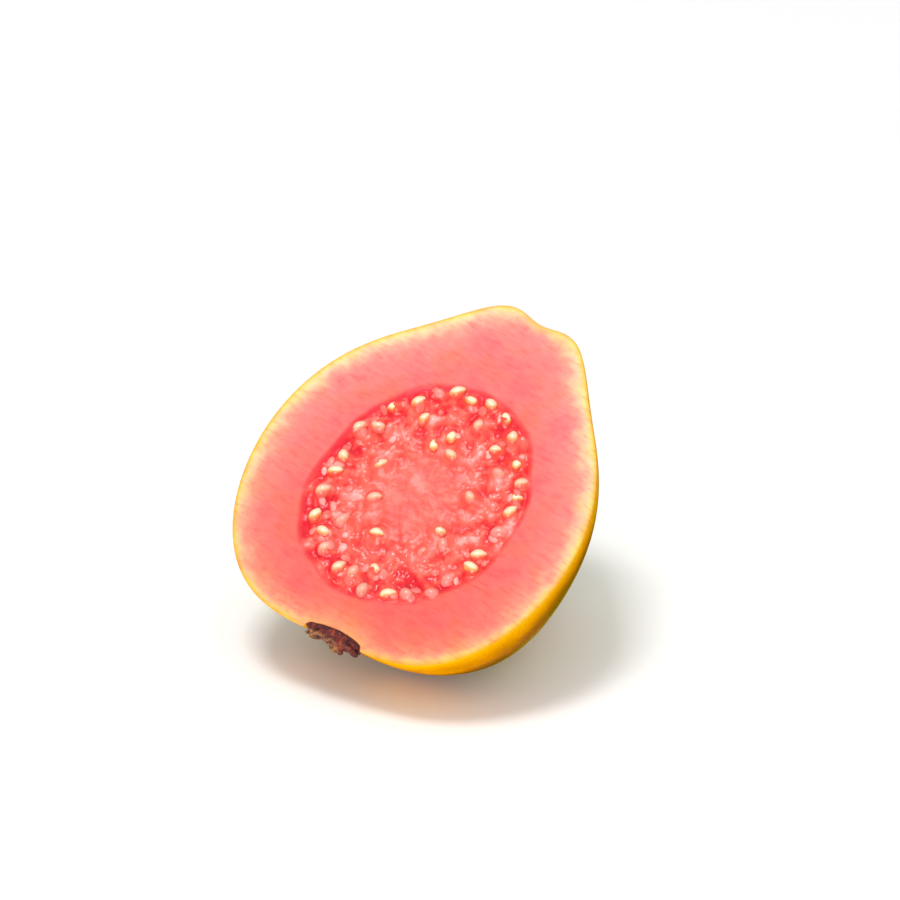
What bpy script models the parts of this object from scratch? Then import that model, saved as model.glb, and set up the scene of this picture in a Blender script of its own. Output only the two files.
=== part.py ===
"""One half of a pink guava, cut lengthwise, lying on its skin.

Metres, +Z up. The half is modelled in its own frame: the cut face lies at z = 0 and looks along +Z,
and the stem end points along +Y. An empty then tips it into the pose in which it lies, with the flat
spot that it rests on at z = 0 and the spot's middle at the world's origin.
"""

import math
import random

import bmesh
import bpy
import numpy as np
from mathutils import Matrix, Vector, noise

# The whole fruit would be 80 mm long and 71 mm wide. Its skin is a ball with a bell-shaped rise or dip
# at each feature: a height in metres, and the angle over which the bell falls to a third of it.
GIRTH_RADIUS = 0.0345
STEM_END_RISE = 0.0101
STEM_END_SPREAD = math.radians(23.6)
STEM_DENT = 0.0038
STEM_DENT_SPREAD = math.radians(8.3)
BLOSSOM_END_RISE = 0.0091
BLOSSOM_END_SPREAD = math.radians(58.4)
BLOSSOM_END_FADE = 1.07
BLOSSOM_RECESS = 0.0069
BLOSSOM_RECESS_SPREAD = math.radians(27.9)
CHEEK_RISE = 0.0024
CHEEK_SPREAD = math.radians(26.2)
UNDERSIDE_RISE = 0.0025
UNDERSIDE_SPREAD = math.radians(36.0)
RIB_COUNT = 5
RIB_HEIGHT = 0.0004
UNEVENNESS = 0.0006
UNEVEN_PATCHES = 2.1

# Directions in the fruit's own frame
STEM_END = Vector((0.0, 1.0, 0.0))
RECESS_BEND = math.radians(4.8)
CALYX_END = Vector((math.sin(RECESS_BEND), -math.cos(RECESS_BEND), 0.0))
CALYX_BEND = math.radians(6.2)
CALYX_AXIS = Vector((math.sin(CALYX_BEND), -math.cos(CALYX_BEND), 0.0))
CUT_FACE = Vector((0.0, 0.0, 1.0))
CHEEK = Vector((0.70, -0.50, -0.51)).normalized()
UNDERSIDE = Vector((0.12, -0.20, -0.97)).normalized()

# How the half lies: rolled about the cut face's normal, tipped forward, turned to the left
ROLL = math.radians(-20.3)
TIP = math.radians(35.7)
TURN = math.radians(-19.3)
FLAT_SPOT_DEPTH = 0.0022

# The cut face: an oval of pulp, a little lower than the flesh round it
PULP_MIDDLE = Vector((0.0008, -0.0022, 0.0))
PULP_HALF_LENGTH = 0.0250
PULP_HALF_WIDTH = 0.0215
PULP_SINK = 0.0008
PULP_EDGE = 0.09
PULP_LUMPS = 0.0004
PULP_LUMP_SIZE = 0.0050

# The seeds stand out of the pulp: a row of them next to the flesh, and the rest strewn inside it.
# The row and the rest lie between two shares of the way from the pulp's middle to its border.
SEED_COUNT = 46
SEED_ROW = 30
SEED_ROW_STRAY = 0.35
SEED_ROW_REACH = (0.82, 0.94)
SEED_INNER_REACH = (0.36, 0.74)
SEED_SPACING = 0.0030
SEED_HALF_LENGTH = 0.0018
SEED_HALF_WIDTH = 0.0013
SEED_HALF_HEIGHT = 0.0013
SEED_SIZES = (0.85, 1.1)
SEED_TILT = 0.3
SEED_LIFT = 0.0002
SEED_DRAW = 6167

# The dry calyx: a shallow bowl that was cut in two, with the sepals that are left on this half.
# It sits a little to one side in the recess of the blossom end.
CALYX_RADIUS = 0.0060
CALYX_DEPTH = 0.0013
CALYX_DISH = 0.0006
SEAT_OPENING = 0.0040
CALYX_GAP = 0.0003
CALYX_SINK = 0.0005
SEPAL_ANGLES = [math.radians(a) for a in (-17.0, -89.0, -161.0)]
SEPAL_ROOT = 0.0026
SEPAL_LENGTH = 0.0030
SEPAL_HALF_WIDTH = 0.0018
SEPAL_POINT = 0.93
SEPAL_LIFT = 0.0014
SEPAL_SUNK = 0.0003
SEPAL_CUP = 0.0003
SEPAL_THICKNESS = 0.0007

# How finely the half is drawn: sides round it, and rings from the middle of the cut face to its
# deepest skin. One ring follows the border of the pulp, and the next one in is where the sink ends.
AROUND = 64
FACE_RINGS = 16
PULP_RINGS = 9
SEED_SIDES = (8, 4)
CALYX_SIDES = (28, 12)
SMALLEST = 1.0e-4
SHARP_EDGE = math.radians(40.0)


def bell(angle, spread):
    """1 where the angle is nothing, falling smoothly to about a third at the spread."""
    return math.exp(-((angle / spread) ** 2))


def skin_radius(direction):
    """How far the skin is from the middle of the cut face, along a unit vector of the own frame."""
    from_stem = direction.angle(STEM_END)
    from_calyx = direction.angle(CALYX_END)
    radius = GIRTH_RADIUS
    radius += STEM_END_RISE * bell(from_stem, STEM_END_SPREAD)
    radius -= STEM_DENT * bell(from_stem, STEM_DENT_SPREAD)
    below_cut = abs(direction.z)
    fullness = 1.0 - BLOSSOM_END_FADE * below_cut
    radius += BLOSSOM_END_RISE * fullness * bell(math.pi - from_stem, BLOSSOM_END_SPREAD)
    radius -= BLOSSOM_RECESS * bell(from_calyx, BLOSSOM_RECESS_SPREAD)
    longitude = math.atan2(direction.z, direction.x)
    ribs = math.cos(RIB_COUNT * longitude) * math.sin(from_calyx) ** 2
    radius += RIB_HEIGHT * ribs * bell(from_calyx, BLOSSOM_END_SPREAD)
    radius += CHEEK_RISE * min(1.0, 2.0 * below_cut) * bell(direction.angle(CHEEK), CHEEK_SPREAD)
    radius += UNDERSIDE_RISE * bell(direction.angle(UNDERSIDE), UNDERSIDE_SPREAD)
    radius += UNEVENNESS * noise.noise(direction * UNEVEN_PATCHES) * direction.z**2
    return radius


def smooth_step(value):
    """0 below 0, 1 above 1, and a smooth ramp between."""
    share = min(1.0, max(0.0, value))
    return share * share * (3.0 - 2.0 * share)


def pulp_reach(x, y):
    """0 in the middle of the pulp, 1 on its border and more in the flesh round it."""
    along = (y - PULP_MIDDLE.y) / PULP_HALF_LENGTH
    across = (x - PULP_MIDDLE.x) / PULP_HALF_WIDTH
    return math.hypot(along, across)


def pulp_border(outward):
    """How far the pulp's border is from the middle of the cut face, along a unit vector of the face."""
    step = Vector((outward.x / PULP_HALF_WIDTH, outward.y / PULP_HALF_LENGTH))
    middle = Vector((PULP_MIDDLE.x / PULP_HALF_WIDTH, PULP_MIDDLE.y / PULP_HALF_LENGTH))
    half_sum = step.dot(middle)
    return (half_sum + math.sqrt(half_sum**2 - step.dot(step) * (middle.dot(middle) - 1.0))) / step.dot(step)


def face_height(x, y):
    """Height of the cut face: level flesh, and the lumpy pulp sunk a little below it."""
    inside = smooth_step((1.0 - pulp_reach(x, y)) / PULP_EDGE)
    lumps = noise.noise(Vector((x, y, 0.0)) / PULP_LUMP_SIZE)
    return inside * (PULP_LUMPS * lumps - PULP_SINK)


def new_material(name, colour, roughness):
    material = bpy.data.materials.new(name)
    material.use_nodes = True
    shader = material.node_tree.nodes["Principled BSDF"]
    shader.inputs["Base Color"].default_value = (*colour, 1.0)
    shader.inputs["Roughness"].default_value = roughness
    shader.inputs["Metallic"].default_value = 0.0
    material.diffuse_color = (*colour, 1.0)
    return material


def new_object(name, shape, collection, parent, material=None):
    """Turns a bmesh into an object, with its material, in a collection and under the empty."""
    mesh = bpy.data.meshes.new(name)
    shape.to_mesh(mesh)
    shape.free()
    if material:
        mesh.materials.append(material)
    obj = bpy.data.objects.new(name, mesh)
    obj.parent = parent
    collection.objects.link(obj)
    return obj


def applied(obj):
    """Replaces the object's mesh by what its modifiers make of it."""
    bpy.context.view_layer.update()
    graph = bpy.context.evaluated_depsgraph_get()
    mesh = bpy.data.meshes.new_from_object(obj.evaluated_get(graph))
    obj.modifiers.clear()
    obj.data = mesh


def remove_collection(collection):
    for obj in list(collection.objects):
        bpy.data.objects.remove(obj)
    bpy.data.collections.remove(collection)


def rest_turn():
    """The rotation from the fruit's own frame to the pose in which it lies."""
    return Matrix.Rotation(TURN, 3, "Z") @ Matrix.Rotation(TIP, 3, "X") @ Matrix.Rotation(ROLL, 3, "Z")


def half_fruit():
    """A closed half: the ball's lower half is the skin, and its upper half is pressed flat as the cut face."""
    shape = bmesh.new()
    bmesh.ops.create_uvsphere(shape, u_segments=AROUND, v_segments=2 * FACE_RINGS, radius=1.0)
    for vert in shape.verts:
        direction = vert.co.normalized()
        if direction.z < SMALLEST:
            vert.co = direction * skin_radius(direction)
            continue
        ring = FACE_RINGS * 2.0 * math.acos(min(1.0, direction.z)) / math.pi
        outward = Vector((direction.x, direction.y, 0.0))
        if ring < SMALLEST:
            outward = STEM_END
        outward.normalize()
        border = pulp_border(outward)
        rings = (0.0, PULP_RINGS, PULP_RINGS + 1.0, FACE_RINGS)
        reaches = (0.0, border * (1.0 - PULP_EDGE), border, skin_radius(outward))
        spot = outward * float(np.interp(ring, rings, reaches))
        vert.co = Vector((spot.x, spot.y, face_height(spot.x, spot.y)))
    for face in shape.faces:
        face.material_index = 1 if face.calc_center_median().z > -PULP_SINK - PULP_LUMPS else 0
    return shape


def cut_flat_spot(shape, turn):
    """Takes a shallow slice off the lowest skin, and returns the middle of the flat spot in world axes."""
    level = min((turn @ vert.co).z for vert in shape.verts) + FLAT_SPOT_DEPTH
    down = turn.transposed() @ Vector((0.0, 0.0, -1.0))
    everything = shape.verts[:] + shape.edges[:] + shape.faces[:]
    bmesh.ops.bisect_plane(shape, geom=everything, plane_co=down * -level, plane_no=down, clear_outer=True)
    border = [edge for edge in shape.edges if edge.is_boundary]
    bmesh.ops.edgeloop_fill(shape, edges=border)
    bmesh.ops.recalc_face_normals(shape, faces=shape.faces[:])
    corners = [turn @ vert.co for vert in {vert for edge in border for vert in edge.verts}]
    xs = [corner.x for corner in corners]
    ys = [corner.y for corner in corners]
    return Vector((0.5 * (min(xs) + max(xs)), 0.5 * (min(ys) + max(ys)), level))


def seed_places():
    """Where each seed lies on the pulp: drawn at random, and kept only where it is clear of the others."""
    draw = random.Random(SEED_DRAW)
    places = []
    while len(places) < SEED_COUNT:
        if len(places) < SEED_ROW:
            step = len(places) + draw.uniform(-SEED_ROW_STRAY, SEED_ROW_STRAY)
            angle = 2.0 * math.pi * step / SEED_ROW
            reach = draw.uniform(*SEED_ROW_REACH)
        else:
            angle = draw.uniform(0.0, 2.0 * math.pi)
            reach = draw.uniform(*SEED_INNER_REACH)
        spot = PULP_MIDDLE + Vector(
            (reach * PULP_HALF_WIDTH * math.cos(angle), reach * PULP_HALF_LENGTH * math.sin(angle), 0.0)
        )
        if all((spot - other).length > SEED_SPACING for other in places):
            places.append(spot)
    return places


def add_seeds(collection, parent, material):
    """One small egg for each seed, its lower half rooted in the pulp."""
    draw = random.Random(SEED_DRAW)
    for number, spot in enumerate(seed_places()):
        shape = bmesh.new()
        bmesh.ops.create_uvsphere(shape, u_segments=SEED_SIDES[0], v_segments=SEED_SIDES[1], radius=1.0)
        size = draw.uniform(*SEED_SIZES)
        half = Vector((SEED_HALF_LENGTH, SEED_HALF_WIDTH, SEED_HALF_HEIGHT)) * size
        bmesh.ops.scale(shape, vec=half, verts=shape.verts[:])
        seed = new_object(f"seed_{number:02d}", shape, collection, parent, material)
        seed.rotation_euler = (0.0, draw.uniform(-SEED_TILT, SEED_TILT), draw.uniform(0.0, math.pi))
        seed.location = (spot.x, spot.y, face_height(spot.x, spot.y) + SEED_LIFT)


def calyx_place():
    """The calyx's own frame on the fruit: its local +Z points out of the skin, and y = 0 is the cut."""
    side = CUT_FACE.cross(CALYX_AXIS)
    turn = Matrix((side, CUT_FACE, CALYX_AXIS)).transposed()
    on_skin = CALYX_AXIS * (skin_radius(CALYX_AXIS) - CALYX_SINK)
    return Matrix.Translation(on_skin) @ turn.to_4x4()


def flattened_ball(radius, above, below):
    """A ball squashed by different amounts above and below its middle."""
    shape = bmesh.new()
    bmesh.ops.create_uvsphere(shape, u_segments=CALYX_SIDES[0], v_segments=CALYX_SIDES[1], radius=1.0)
    for vert in shape.verts:
        height = above if vert.co.z > 0.0 else below
        vert.co = Vector((vert.co.x * radius, vert.co.y * radius, vert.co.z * height))
    return shape


def sepal(angle):
    """A pointed blade that starts inside the bowl and rises towards its edge."""
    shape = bmesh.new()
    bmesh.ops.create_grid(shape, x_segments=6, y_segments=4, size=1.0)
    for vert in shape.verts:
        share = 0.5 * (vert.co.x + 1.0)
        width = SEPAL_HALF_WIDTH * math.sqrt(1.0 - SEPAL_POINT * share**2)
        lift = SEPAL_LIFT * math.sin(0.5 * math.pi * share) - SEPAL_SUNK
        cupped = SEPAL_CUP * vert.co.y**2
        vert.co = Vector((SEPAL_ROOT + SEPAL_LENGTH * share, width * vert.co.y, lift + cupped))
    bmesh.ops.rotate(shape, matrix=Matrix.Rotation(angle, 3, "Z"), verts=shape.verts[:])
    return shape


def cut_in_half(obj):
    """Takes off the side of the calyx that went with the other half of the fruit."""
    shape = bmesh.new()
    shape.from_mesh(obj.data)
    everything = shape.verts[:] + shape.edges[:] + shape.faces[:]
    bmesh.ops.bisect_plane(shape, geom=everything, plane_co=(0, 0, 0), plane_no=(0, 1, 0), clear_outer=True)
    border = [edge for edge in shape.edges if edge.is_boundary]
    bmesh.ops.contextual_create(shape, geom=border)
    bmesh.ops.recalc_face_normals(shape, faces=shape.faces[:])
    shape.to_mesh(obj.data)
    shape.free()


def add_boolean(obj, operation, other):
    boolean = obj.modifiers.new(operation.lower(), "BOOLEAN")
    boolean.operation = operation
    boolean.solver = "EXACT"
    if isinstance(other, bpy.types.Collection):
        boolean.operand_type = "COLLECTION"
        boolean.collection = other
    else:
        boolean.object = other


def add_fruit(parts, cutters, pose, turn):
    """The half fruit, with its flat spot, its seeds and the seat of the calyx."""
    skin = new_material("guava_skin", (0.72, 0.50, 0.03), 0.35)
    flesh = new_material("guava_flesh", (0.90, 0.22, 0.19), 0.40)
    seed = new_material("guava_seed", (0.92, 0.68, 0.42), 0.45)
    shape = half_fruit()
    middle = cut_flat_spot(shape, turn)
    fruit = new_object("fruit_half", shape, parts, pose, skin)
    fruit.data.materials.append(flesh)

    seeds = bpy.data.collections.new("seeds")
    bpy.context.scene.collection.children.link(seeds)
    add_seeds(seeds, pose, seed)
    add_boolean(fruit, "UNION", seeds)
    applied(fruit)
    remove_collection(seeds)

    hollow = flattened_ball(CALYX_RADIUS + CALYX_GAP, SEAT_OPENING, CALYX_DEPTH + CALYX_GAP)
    seat = new_object("calyx_seat", hollow, cutters, pose)
    seat.matrix_local = calyx_place()
    seat.hide_render = True
    seat.display_type = "WIRE"
    add_boolean(fruit, "DIFFERENCE", seat)
    fruit.data.shade_smooth()
    fruit.data.set_sharp_from_angle(angle=SHARP_EDGE)
    return middle


def add_calyx(parts, pose):
    """The bowl and its sepals, joined, and cut through with the fruit."""
    dry = new_material("dry_calyx", (0.10, 0.02, 0.01), 0.85)
    bowl = flattened_ball(CALYX_RADIUS, CALYX_DISH, CALYX_DEPTH)
    calyx = new_object("calyx", bowl, parts, pose, dry)
    calyx.matrix_local = calyx_place()
    sepals = bpy.data.collections.new("sepals")
    bpy.context.scene.collection.children.link(sepals)
    for number, angle in enumerate(SEPAL_ANGLES):
        blade = new_object(f"sepal_{number}", sepal(angle), sepals, pose, dry)
        blade.matrix_local = calyx_place()
        solid = blade.modifiers.new("thickness", "SOLIDIFY")
        solid.thickness = SEPAL_THICKNESS
        solid.offset = 0.0
    add_boolean(calyx, "UNION", sepals)
    applied(calyx)
    remove_collection(sepals)
    cut_in_half(calyx)
    calyx.data.shade_smooth()
    calyx.data.set_sharp_from_angle(angle=SHARP_EDGE)


def main():
    for obj in list(bpy.data.objects):
        bpy.data.objects.remove(obj)
    scene = bpy.context.scene
    parts = bpy.data.collections.new("guava_half")
    cutters = bpy.data.collections.new("cutters")
    scene.collection.children.link(parts)
    scene.collection.children.link(cutters)

    turn = rest_turn()
    pose = bpy.data.objects.new("resting_pose", None)
    parts.objects.link(pose)
    middle = add_fruit(parts, cutters, pose, turn)
    add_calyx(parts, pose)
    pose.matrix_world = Matrix.Translation(-middle) @ turn.to_4x4()
    bpy.context.view_layer.update()


main()
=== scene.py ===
# %% [markdown]
# # Half of a pink guava
# A ripe guava was cut lengthwise with a knife and one half laid on its skin. From outside in it has a
# thin yellow skin, a cream rind, firm pink flesh and a bed of soft red pulp, in which hard cream seeds
# sit in wet gel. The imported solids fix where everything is. This script dresses them: it rebuilds the
# half as a fine mesh from the same formula, and adds the seeds, the gel, the dry calyx and the finishes.

# %% Load the fixed frame
import math
import random

import bmesh
import bpy
import numpy as np
from mathutils import Euler, Matrix, Vector, noise


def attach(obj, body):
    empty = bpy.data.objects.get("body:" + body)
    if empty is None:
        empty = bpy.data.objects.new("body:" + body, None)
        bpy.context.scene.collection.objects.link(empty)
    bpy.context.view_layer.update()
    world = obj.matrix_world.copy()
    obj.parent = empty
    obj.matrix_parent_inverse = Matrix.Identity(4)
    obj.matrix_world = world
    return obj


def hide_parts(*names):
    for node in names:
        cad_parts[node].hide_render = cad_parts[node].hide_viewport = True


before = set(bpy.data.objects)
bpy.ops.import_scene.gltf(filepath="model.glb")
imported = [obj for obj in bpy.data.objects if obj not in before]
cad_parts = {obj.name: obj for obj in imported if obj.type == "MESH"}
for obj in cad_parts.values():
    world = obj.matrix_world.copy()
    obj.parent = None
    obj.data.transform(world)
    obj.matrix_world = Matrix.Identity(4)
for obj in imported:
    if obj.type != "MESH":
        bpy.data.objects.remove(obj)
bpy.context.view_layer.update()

# %% [markdown]
# ## The fruit's own frame
# A fruit is easiest to describe in its own frame: the cut face level at z = 0, the stem end along +Y
# and the calyx at the other end. One rotation and one move then lay it down as the frame has it. The
# move could be read off the frame's mesh, but three named numbers say the same and are easier to read.

# %% Lay the fruit down
ROLL = math.radians(-20.3)
TIP = math.radians(35.7)
TURN = math.radians(-19.3)
MIDDLE_OF_CUT = Vector((-0.001592, 0.000961, 0.035022))
rest_turn = Matrix.Rotation(TURN, 3, "Z") @ Matrix.Rotation(TIP, 3, "X") @ Matrix.Rotation(ROLL, 3, "Z")
cut_normal = rest_turn @ Vector((0.0, 0.0, 1.0))
MM = 0.001


def laid_down(points):
    """Rows of points from the fruit's own frame to the frame in which it lies."""
    return np.asarray(points) @ np.array(rest_turn).T + np.array(MIDDLE_OF_CUT)


print("the cut face looks along", [round(c, 2) for c in cut_normal])

# %% [markdown]
# ## The shape of the skin
# No two guavas are alike, but each is a ball with the same few features: a blunt rise at the stem end
# with a dent in it, a broad fullness at the blossom end with a recess for the calyx, and faint ribs.
# One could sculpt that, or bend a cage. A radius that adds one bell curve for each feature is chosen,
# because each number can be named and matched to the real fruit.

# %% Radius of the skin in any direction
GIRTH_RADIUS = 0.0345
STEM_END_RISE = 0.0101
STEM_END_SPREAD = math.radians(23.6)
STEM_DENT = 0.0038
STEM_DENT_SPREAD = math.radians(8.3)
BLOSSOM_END_RISE = 0.0091
BLOSSOM_END_SPREAD = math.radians(58.4)
BLOSSOM_END_FADE = 1.07
BLOSSOM_RECESS = 0.0069
BLOSSOM_RECESS_SPREAD = math.radians(27.9)
CHEEK_RISE = 0.0024
CHEEK_SPREAD = math.radians(26.2)
UNDERSIDE_RISE = 0.0025
UNDERSIDE_SPREAD = math.radians(36.0)
RIB_COUNT = 5
RIB_HEIGHT = 0.0004
UNEVENNESS = 0.0006
UNEVEN_PATCHES = 2.1
STEM_END = Vector((0.0, 1.0, 0.0))
RECESS_BEND = math.radians(4.8)
CALYX_END = Vector((math.sin(RECESS_BEND), -math.cos(RECESS_BEND), 0.0))
CALYX_BEND = math.radians(6.2)
CALYX_AXIS = Vector((math.sin(CALYX_BEND), -math.cos(CALYX_BEND), 0.0))
CUT_FACE = Vector((0.0, 0.0, 1.0))
CHEEK = Vector((0.70, -0.50, -0.51)).normalized()
UNDERSIDE = Vector((0.12, -0.20, -0.97)).normalized()


def bell(angle, spread):
    """1 where the angle is nothing, falling smoothly to about a third at the spread."""
    return math.exp(-((angle / spread) ** 2))


def smooth_step(value):
    """0 below 0, 1 above 1, and a smooth ramp between."""
    share = min(1.0, max(0.0, value))
    return share * share * (3.0 - 2.0 * share)


def skin_radius(direction):
    """How far the skin is from the middle of the cut face, along a unit vector of the own frame."""
    from_stem = direction.angle(STEM_END)
    from_calyx = direction.angle(CALYX_END)
    radius = GIRTH_RADIUS
    radius += STEM_END_RISE * bell(from_stem, STEM_END_SPREAD)
    radius -= STEM_DENT * bell(from_stem, STEM_DENT_SPREAD)
    below_cut = abs(direction.z)
    fullness = 1.0 - BLOSSOM_END_FADE * below_cut
    radius += BLOSSOM_END_RISE * fullness * bell(math.pi - from_stem, BLOSSOM_END_SPREAD)
    radius -= BLOSSOM_RECESS * bell(from_calyx, BLOSSOM_RECESS_SPREAD)
    longitude = math.atan2(direction.z, direction.x)
    ribs = math.cos(RIB_COUNT * longitude) * math.sin(from_calyx) ** 2
    radius += RIB_HEIGHT * ribs * bell(from_calyx, BLOSSOM_END_SPREAD)
    radius += CHEEK_RISE * min(1.0, 2.0 * below_cut) * bell(direction.angle(CHEEK), CHEEK_SPREAD)
    radius += UNDERSIDE_RISE * bell(direction.angle(UNDERSIDE), UNDERSIDE_SPREAD)
    radius += UNEVENNESS * noise.noise(direction * UNEVEN_PATCHES) * direction.z**2
    return radius


ends_mm = [round(skin_radius(end) / MM, 1) for end in (STEM_END, CALYX_END)]
print("the skin is", ends_mm, "mm from the middle at the stem end and the calyx end")

# %% [markdown]
# ## The seat of the calyx
# The dry calyx sits in a small round hollow of the skin. A Boolean would cut it, but would leave long
# thin triangles in a fine mesh. The hollow is taken off the radius instead, so the mesh stays even: the
# place where a ray from the middle enters the hollow is worked out as for any squashed ball.

# %% Take the hollow off the radius
CALYX_RADIUS = 0.0060
CALYX_DEPTH = 0.0013
CALYX_DISH = 0.0006
SEAT_OPENING = 0.0040
CALYX_GAP = 0.0003
CALYX_SINK = 0.0005


def hollow_start(angle, middle, depth):
    """Distance at which a ray at this angle to the calyx's axis enters a squashed ball, or None."""
    across = math.sin(angle) / (CALYX_RADIUS + CALYX_GAP)
    along = math.cos(angle) / depth
    square = across**2 + along**2
    inside_root = (along * middle / depth) ** 2 - square * ((middle / depth) ** 2 - 1.0)
    if inside_root < 0.0:
        return None
    return (along * middle / depth - math.sqrt(inside_root)) / square


def fruit_radius(direction):
    """The skin's radius with the hollow under the calyx taken off."""
    radius = skin_radius(direction)
    angle = direction.angle(CALYX_AXIS)
    middle = skin_radius(CALYX_AXIS) - CALYX_SINK
    if angle > math.asin((CALYX_RADIUS + CALYX_GAP) / middle):
        return radius
    start = hollow_start(angle, middle, CALYX_DEPTH + CALYX_GAP)
    if start is None or start * math.cos(angle) > middle:
        start = hollow_start(angle, middle, SEAT_OPENING)
    return radius if start is None else min(radius, start)


print("floor of the seat", round(fruit_radius(CALYX_AXIS) / MM, 1), "mm from the middle of the cut")

# %% [markdown]
# ## The bed of pulp
# The seeds lie in an oval bed of softer pulp that shrinks a little below the knife's cut. Its wall is
# steepest on the side away from the calyx, where a dark red line is painted along it as shade, over
# the pulp's own red. The bed's border is an ellipse that wavers and bulges on one side, so one
# number, the reach, says how far out a point is: 0 in the middle of the bed and 1 on its border.

# %% Where the pulp is and how deep it lies
PULP_MIDDLE = Vector((0.0008, -0.0022, 0.0))
PULP_HALF_LENGTH = 0.0250
PULP_HALF_WIDTH = 0.0215
PULP_SINK = 0.0008
PULP_EDGE = 0.09
BORDER_WAVER = 0.045
BORDER_WAVES = 2.6
BULGE = 0.12
BULGE_TURN = math.radians(218.0)
BULGE_SPREAD = math.radians(36.0)
TRENCH_DEPTH = 0.0005
TRENCH_REACH = 0.965
TRENCH_WIDTH = 0.024
TRENCH_TURN = math.radians(138.0)
TRENCH_SPREAD = math.radians(44.0)
TRENCH_LEAST = 0.15


def pulp_reach(x, y):
    """0 in the middle of the pulp, 1 on its border and more in the flesh round it."""
    place = Vector(((x - PULP_MIDDLE.x) / PULP_HALF_WIDTH, (y - PULP_MIDDLE.y) / PULP_HALF_LENGTH, 0.0))
    if place.length == 0.0:
        return 0.0
    around = math.atan2(place.y, place.x)
    away = abs((around - BULGE_TURN + math.pi) % (2.0 * math.pi) - math.pi)
    border = 1.0 + BULGE * bell(away, BULGE_SPREAD)
    border += BORDER_WAVER * noise.noise(place.normalized() * BORDER_WAVES)
    return place.length / border


def pulp_border(outward):
    """How far the pulp's border is from the middle of the cut face, along a unit vector of the face."""
    step = Vector((outward.x / PULP_HALF_WIDTH, outward.y / PULP_HALF_LENGTH))
    middle = Vector((PULP_MIDDLE.x / PULP_HALF_WIDTH, PULP_MIDDLE.y / PULP_HALF_LENGTH))
    half_sum = step.dot(middle)
    root = math.sqrt(half_sum**2 - step.dot(step) * (middle.dot(middle) - 1.0))
    return (half_sum + root) / step.dot(step)


def trench(x, y):
    """How much of the trench along the border there is at this place: 0 for none, 1 for all of it."""
    around = math.atan2((y - PULP_MIDDLE.y) / PULP_HALF_LENGTH, (x - PULP_MIDDLE.x) / PULP_HALF_WIDTH)
    away = abs((around - TRENCH_TURN + math.pi) % (2.0 * math.pi) - math.pi)
    strength = TRENCH_LEAST + (1.0 - TRENCH_LEAST) * bell(away, TRENCH_SPREAD)
    return strength * bell(pulp_reach(x, y) - TRENCH_REACH, TRENCH_WIDTH)


def face_height(x, y):
    """Height of the cut face: level flesh, and the pulp sunk a little below it."""
    inside = smooth_step((1.0 - pulp_reach(x, y)) / PULP_EDGE)
    return -PULP_SINK * inside - TRENCH_DEPTH * trench(x, y)


print("the bed is", round(2 * PULP_HALF_LENGTH / MM), "by", round(2 * PULP_HALF_WIDTH / MM), "mm")

# %% [markdown]
# ## One closed mesh for the half
# The half is skinned over rings of points: out from the middle of the cut face, over the rim and down
# round the skin to the lowest point. A grid of Blender's own could be bent into this, but rings let
# the pulp have the finest faces, where the relief is, and the smooth skin the largest.

# %% Rings of points over the half
AROUND = 512
PULP_RINGS = 92
PULP_RINGS_REACH = 1.14
FLESH_RINGS = 24
RIM_RINGS = 3
RIM_ROUNDING = 0.00025
SKIN_RINGS = 56


def closed_mesh(name, top, rings, bottom):
    """A closed skin over rings of points, from one top point to one bottom point."""
    around = rings.shape[1]
    points = np.vstack([[top], rings.reshape(-1, 3), [bottom]])
    here = np.arange(around)
    following = (here + 1) % around
    faces = [(0, 1 + b, 1 + a) for a, b in zip(here, following)]
    for ring in range(rings.shape[0] - 1):
        upper = 1 + ring * around
        lower = upper + around
        faces += [(upper + a, upper + b, lower + b, lower + a) for a, b in zip(here, following)]
    last = 1 + (rings.shape[0] - 1) * around
    faces += [(last + a, last + b, len(points) - 1) for a, b in zip(here, following)]
    mesh = bpy.data.meshes.new(name)
    mesh.from_pydata(points.tolist(), [], [[int(i) for i in face] for face in faces])
    shape = bmesh.new()
    shape.from_mesh(mesh)
    bmesh.ops.recalc_face_normals(shape, faces=shape.faces)
    shape.to_mesh(mesh)
    shape.free()
    mesh.shade_smooth()
    return mesh


def half_columns():
    """For each direction round the cut face, the points from its middle over the rim to the lowest skin."""
    columns = []
    for step in range(AROUND):
        angle = 2.0 * math.pi * step / AROUND
        outward = Vector((math.cos(angle), math.sin(angle), 0.0))
        border = pulp_border(outward) * PULP_RINGS_REACH
        rim = fruit_radius(outward)
        flesh_end = rim - RIM_ROUNDING
        reaches = list(np.linspace(0.0, border, PULP_RINGS + 1)[1:])
        reaches += list(np.linspace(border, flesh_end, FLESH_RINGS + 1)[1:])
        column = [(*(outward.xy * r), face_height(*(outward.xy * r))) for r in reaches]
        for bend in np.linspace(0.0, 0.5 * math.pi, RIM_RINGS + 1)[1:]:
            out = flesh_end + RIM_ROUNDING * math.sin(bend)
            column.append((*(outward.xy * out), -RIM_ROUNDING * (1.0 - math.cos(bend))))
        lowest = math.asin(RIM_ROUNDING / rim)
        for down in np.linspace(lowest, 0.5 * math.pi, SKIN_RINGS + 1)[1:-1]:
            direction = Vector((outward.x * math.cos(down), outward.y * math.cos(down), -math.sin(down)))
            column.append(tuple(direction * fruit_radius(direction)))
        columns.append(column)
    return np.array(columns).transpose(1, 0, 2)


rings = half_columns()
centre_top = np.array([0.0, 0.0, face_height(0.0, 0.0)])
centre_bottom = np.array([0.0, 0.0, -fruit_radius(Vector((0.0, 0.0, -1.0)))])
own_points = np.vstack([[centre_top], rings.reshape(-1, 3), [centre_bottom]])
half_mesh = closed_mesh("guava_half", centre_top, rings, centre_bottom)
FACE_RING_COUNT = PULP_RINGS + FLESH_RINGS + RIM_RINGS
print("half:", len(half_mesh.vertices), "points,", 2 * AROUND * rings.shape[0], "triangles")

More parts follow.
